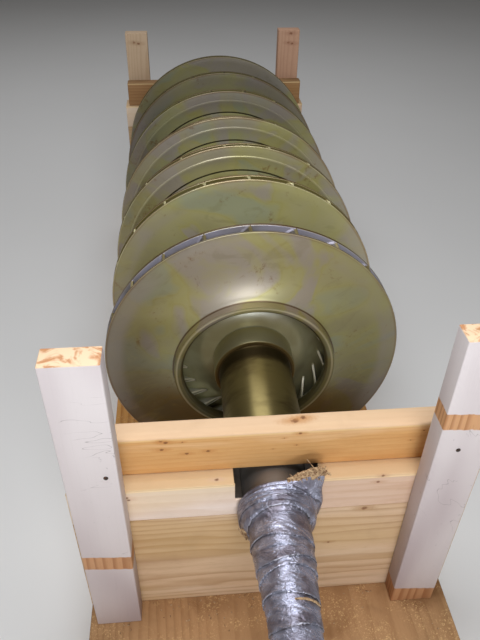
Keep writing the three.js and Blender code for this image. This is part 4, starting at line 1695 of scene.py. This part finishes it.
@dataclass
class Studio:
    """The pale floor, the soft panel lights and the camera. A panel has a name, a place, its two sizes
    and its power in watts."""

    camera_place: Triple = (-0.1292, -1.5620, 1.3411)
    camera_axes: tuple[Triple, Triple, Triple] = (
        (0.99602, -0.08805, 0.01394),
        (0.04282, 0.60966, 0.79151),
        (-0.07820, -0.78776, 0.61101),
    )
    focal_length: float = 35.518
    sensor_width: float = 36.0
    clip_end: float = 60.0
    floor_half: float = 9.0
    floor_tones: tuple[Colour, Colour] = (srgb(226, 224, 220), srgb(232, 230, 226))
    panels: tuple[tuple[str, Triple, tuple[float, float], float], ...] = (
        ("low_front_panel", (0.1, -4.2, 0.95), (1.3, 0.45), 29.0),
        ("front_panel", (0.0, -3.6, 2.4), (2.0, 1.0), 52.0),
        ("near_panel", (-0.1, -0.85, 1.85), (1.0, 0.7), 12.0),
        ("rear_panel", (-0.5, 2.4, 4.4), (3.0, 2.0), 78.0),
    )
    panel_light: Colour = (0.955, 0.98, 1.03)
    target: Triple = (0.0, -0.3, 0.5)
    room_light: Colour = (0.62, 0.6, 0.58)
    room_strength: float = 0.12

    def camera(self) -> None:
        """The camera, at the photograph's angle."""
        data = bpy.data.cameras.new("photo_camera")
        data.lens = self.focal_length
        data.sensor_width = self.sensor_width
        data.clip_end = self.clip_end
        camera = bpy.data.objects.new("photo_camera", data)
        place = Matrix([Vector(axis).normalized() for axis in self.camera_axes]).transposed().to_4x4()
        place.translation = Vector(self.camera_place)
        camera.matrix_world = place
        bpy.context.scene.collection.objects.link(camera)
        bpy.context.scene.camera = camera

    def floor(self) -> None:
        """The floor, a plain pale sheet that curves up nowhere."""
        deselect()
        bpy.ops.mesh.primitive_grid_add(x_subdivisions=8, y_subdivisions=8, size=2.0 * self.floor_half)
        floor = bpy.context.object
        floor.name = floor.data.name = "studio_floor"
        ground, cloud = self.floor_tones
        bench = Bench("pale_floor", ground)
        bench.lay(cloud, bench.noise(bench.place, 1.4, 3.0, 0.5))
        floor.data.materials.append(bench.finish(0.7))

    def light(self, name: str, place: Triple, size: tuple[float, float], power: float) -> None:
        """One soft panel light, aimed at the wheels."""
        data = bpy.data.lights.new(name, "AREA")
        data.shape = "RECTANGLE"
        data.size, data.size_y = size
        data.energy = power
        data.color = self.panel_light
        lamp = bpy.data.objects.new(name, data)
        lamp.location = place
        lamp.rotation_euler = (Vector(self.target) - Vector(place)).to_track_quat("-Z", "Y").to_euler()
        lamp.visible_camera = False
        bpy.context.scene.collection.objects.link(lamp)

    def build(self) -> None:
        """Sets up the whole studio."""
        self.camera()
        self.floor()
        for panel in self.panels:
            self.light(*panel)
        world = bpy.data.worlds.new("soft_room")
        world.use_nodes = True
        room = world.node_tree.nodes["Background"].inputs
        room["Color"].default_value = (*self.room_light, 1.0)
        room["Strength"].default_value = self.room_strength
        bpy.context.scene.world = world
        bpy.context.scene.view_settings.view_transform = "Standard"


# ---- This rotor and its cradle


def knots(*places: tuple[float, ...]) -> tuple[Knot, ...]:
    """Knots from millimetres: x, height over the shaft's axis, radius and, unless right through, y."""
    return tuple(Knot(*values) for values in mm(*places))


# DARK_SLOT's pale blade ends are painted highlights, and DEEP_SLOT's near-black ones painted shadows.
DARK_SLOT = SlotTones(passage=srgb(96, 86, 44), blade_end_tone_and_painted_light=srgb(190, 182, 140))
DEEP_SLOT = SlotTones(passage=srgb(124, 118, 66), blade_end_tone_and_painted_light=srgb(34, 30, 14))
# Each wheel's light is a painted brightness, for how much light reaches that wheel.
WHEEL_LOOKS = (
    (SlotTones(), StainedSteel(1, violet_share=0.75)),
    (DARK_SLOT, StainedSteel(2, violet_share=0.25, light=1.4)),
    (DARK_SLOT, StainedSteel(3, violet_share=0.6, light=1.2, ridge_shine=0.22, grooved=True)),
    (DARK_SLOT, StainedSteel(4, violet_share=0.5, light=1.15, ridge_shine=0.2, grooved=True)),
    (DEEP_SLOT, StainedSteel(5, violet_share=0.8, light=0.88, ridge_shine=0.15, grooved=True)),
    (DEEP_SLOT, StainedSteel(6, violet_share=0.8, light=0.7)),
    (DEEP_SLOT, StainedSteel(7, violet_share=1.0, light=0.8)),
)
FRONT_LUMPS = (
    Lump(929.0, -15.0, 18.0, 60.0, 8.5),
    Lump(929.0, 36.0, 7.5, 17.0, 46.0),
    Lump(935.0, 64.0, 15.0, 22.0, 14.0),
)
FRONT_CREASES = (
    Crease(936.5, 16.0, 74.0, 0.2, 6.5, 1.8),
    Crease(936.0, -80.0, 108.0, -0.01, 2.2),
    Crease(941.0, -64.0, 112.0, 0.02, 1.7),
    Crease(946.5, -78.0, 96.0, 0.03, 1.4),
    Crease(953.0, -40.0, 104.0, 0.09, 1.8),
    Crease(990.0, 4.0, 70.0, 0.34, 1.5, 1.2),
    Crease(996.0, 0.0, 76.0, 0.36, 1.5, 1.2),
    Crease(1026.0, -56.0, 92.0, 0.05, 1.6),
)
REAR_LUMPS = (Lump(944.0, -30.0, 16.0, 30.0, 5.0),)
FRONT_SADDLE = Saddle(
    "front",
    -1,
    seed=2,
    beam_knots=knots(
        *((-183, 140.5, 2.8, -895), (-176, 137, 3.2, -895), (-183, 121, 3.0, -895), (-150, 136, 1.6, -895)),
        *((-110, 112, 2.8, -895), (-144, 109, 2.8, -895), (11, 132, 1.2, -895), (32, 114, 1.2, -895)),
        *((-6, 108, 1.0, -895), (30, 148, 5.5, -874), (44, 148, 4.5, -868), (36, 141, 2.6, -895)),
        *((220, 110, 1.3, -895), (238, 131, 1.6, -895)),
    ),
    block_knots=knots(
        *((-243, 47, 3, -926), (-240, 41, 2.4, -926), (-98, 64, 3.2, -914), (167, 47, 3, -926)),
        (173, 62, 2.6, -926),
    ),
    plank_knots=knots((154, -22, 4.6, -926), (100, -116, 2.6, -926)),
    post_bands={
        "left": (BareBand(-0.0865, -0.0515, x=-0.323, slope=-0.1),),
        "right": (
            BareBand(0.208, 0.240, x=0.228, slope=-0.08),
            BareBand(-0.3, -0.224, x=0.228, slope=-0.12),
        ),
    },
)
FRONT_SCREWS = tuple(mm((-261, 147), (262, 162)))
BARE_POST = {"contrast": 0.4, "dirt": 0.1}
REAR_SADDLE = Saddle(
    "rear",
    1,
    seed=14,
    beam=SHADED_REAR_BEAM_PINE,
    # The rear posts are bare wood, their colours darkened as painted shade for the rear of the cradle.
    bare_posts={
        "left": {
            **BARE_POST,
            "early": srgb(194, 168, 138),
            "late": srgb(172, 142, 110),
            "knots": knots((-292, 272, 5), (-276, 268, 5)),
        },
        "right": {
            **BARE_POST,
            "early": srgb(190, 150, 122),
            "late": srgb(164, 120, 94),
            "knots": knots((290, 300, 5), (281, 268, 4), (296, 264, 5)),
        },
    },
)


def main() -> None:
    """Builds the studio, the rotor and the cradle in order."""
    logging.basicConfig(level=logging.INFO, format="%(name)s: %(message)s")
    Studio().build()
    for stage, (tones, steel) in zip(STAGES, WHEEL_LOOKS):
        Wheel(stage, steel, tones).build()
    ShaftLine().build()
    tape = SilverTape().material("silver_cloth_tape")
    front_wrap = TapeWrap("front", -1, seed=1, lumps=FRONT_LUMPS, creases=FRONT_CREASES)
    front_wrap.build(tape)
    TapeWrap("rear", 1, seed=4, lumps=REAR_LUMPS).build(tape)
    chips = Fibre().material("torn_fibre")
    TornPadding(front_wrap).build(chips)
    FRONT_SADDLE.build()
    REAR_SADDLE.build()
    Fasteners(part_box("front_post_left")[0].y, FRONT_SCREWS).build()
    Sawdust("front_sole_timber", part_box("front_notched_plank")[0].y).build(chips)
    build_base()


if __name__ == "__main__":
    main()
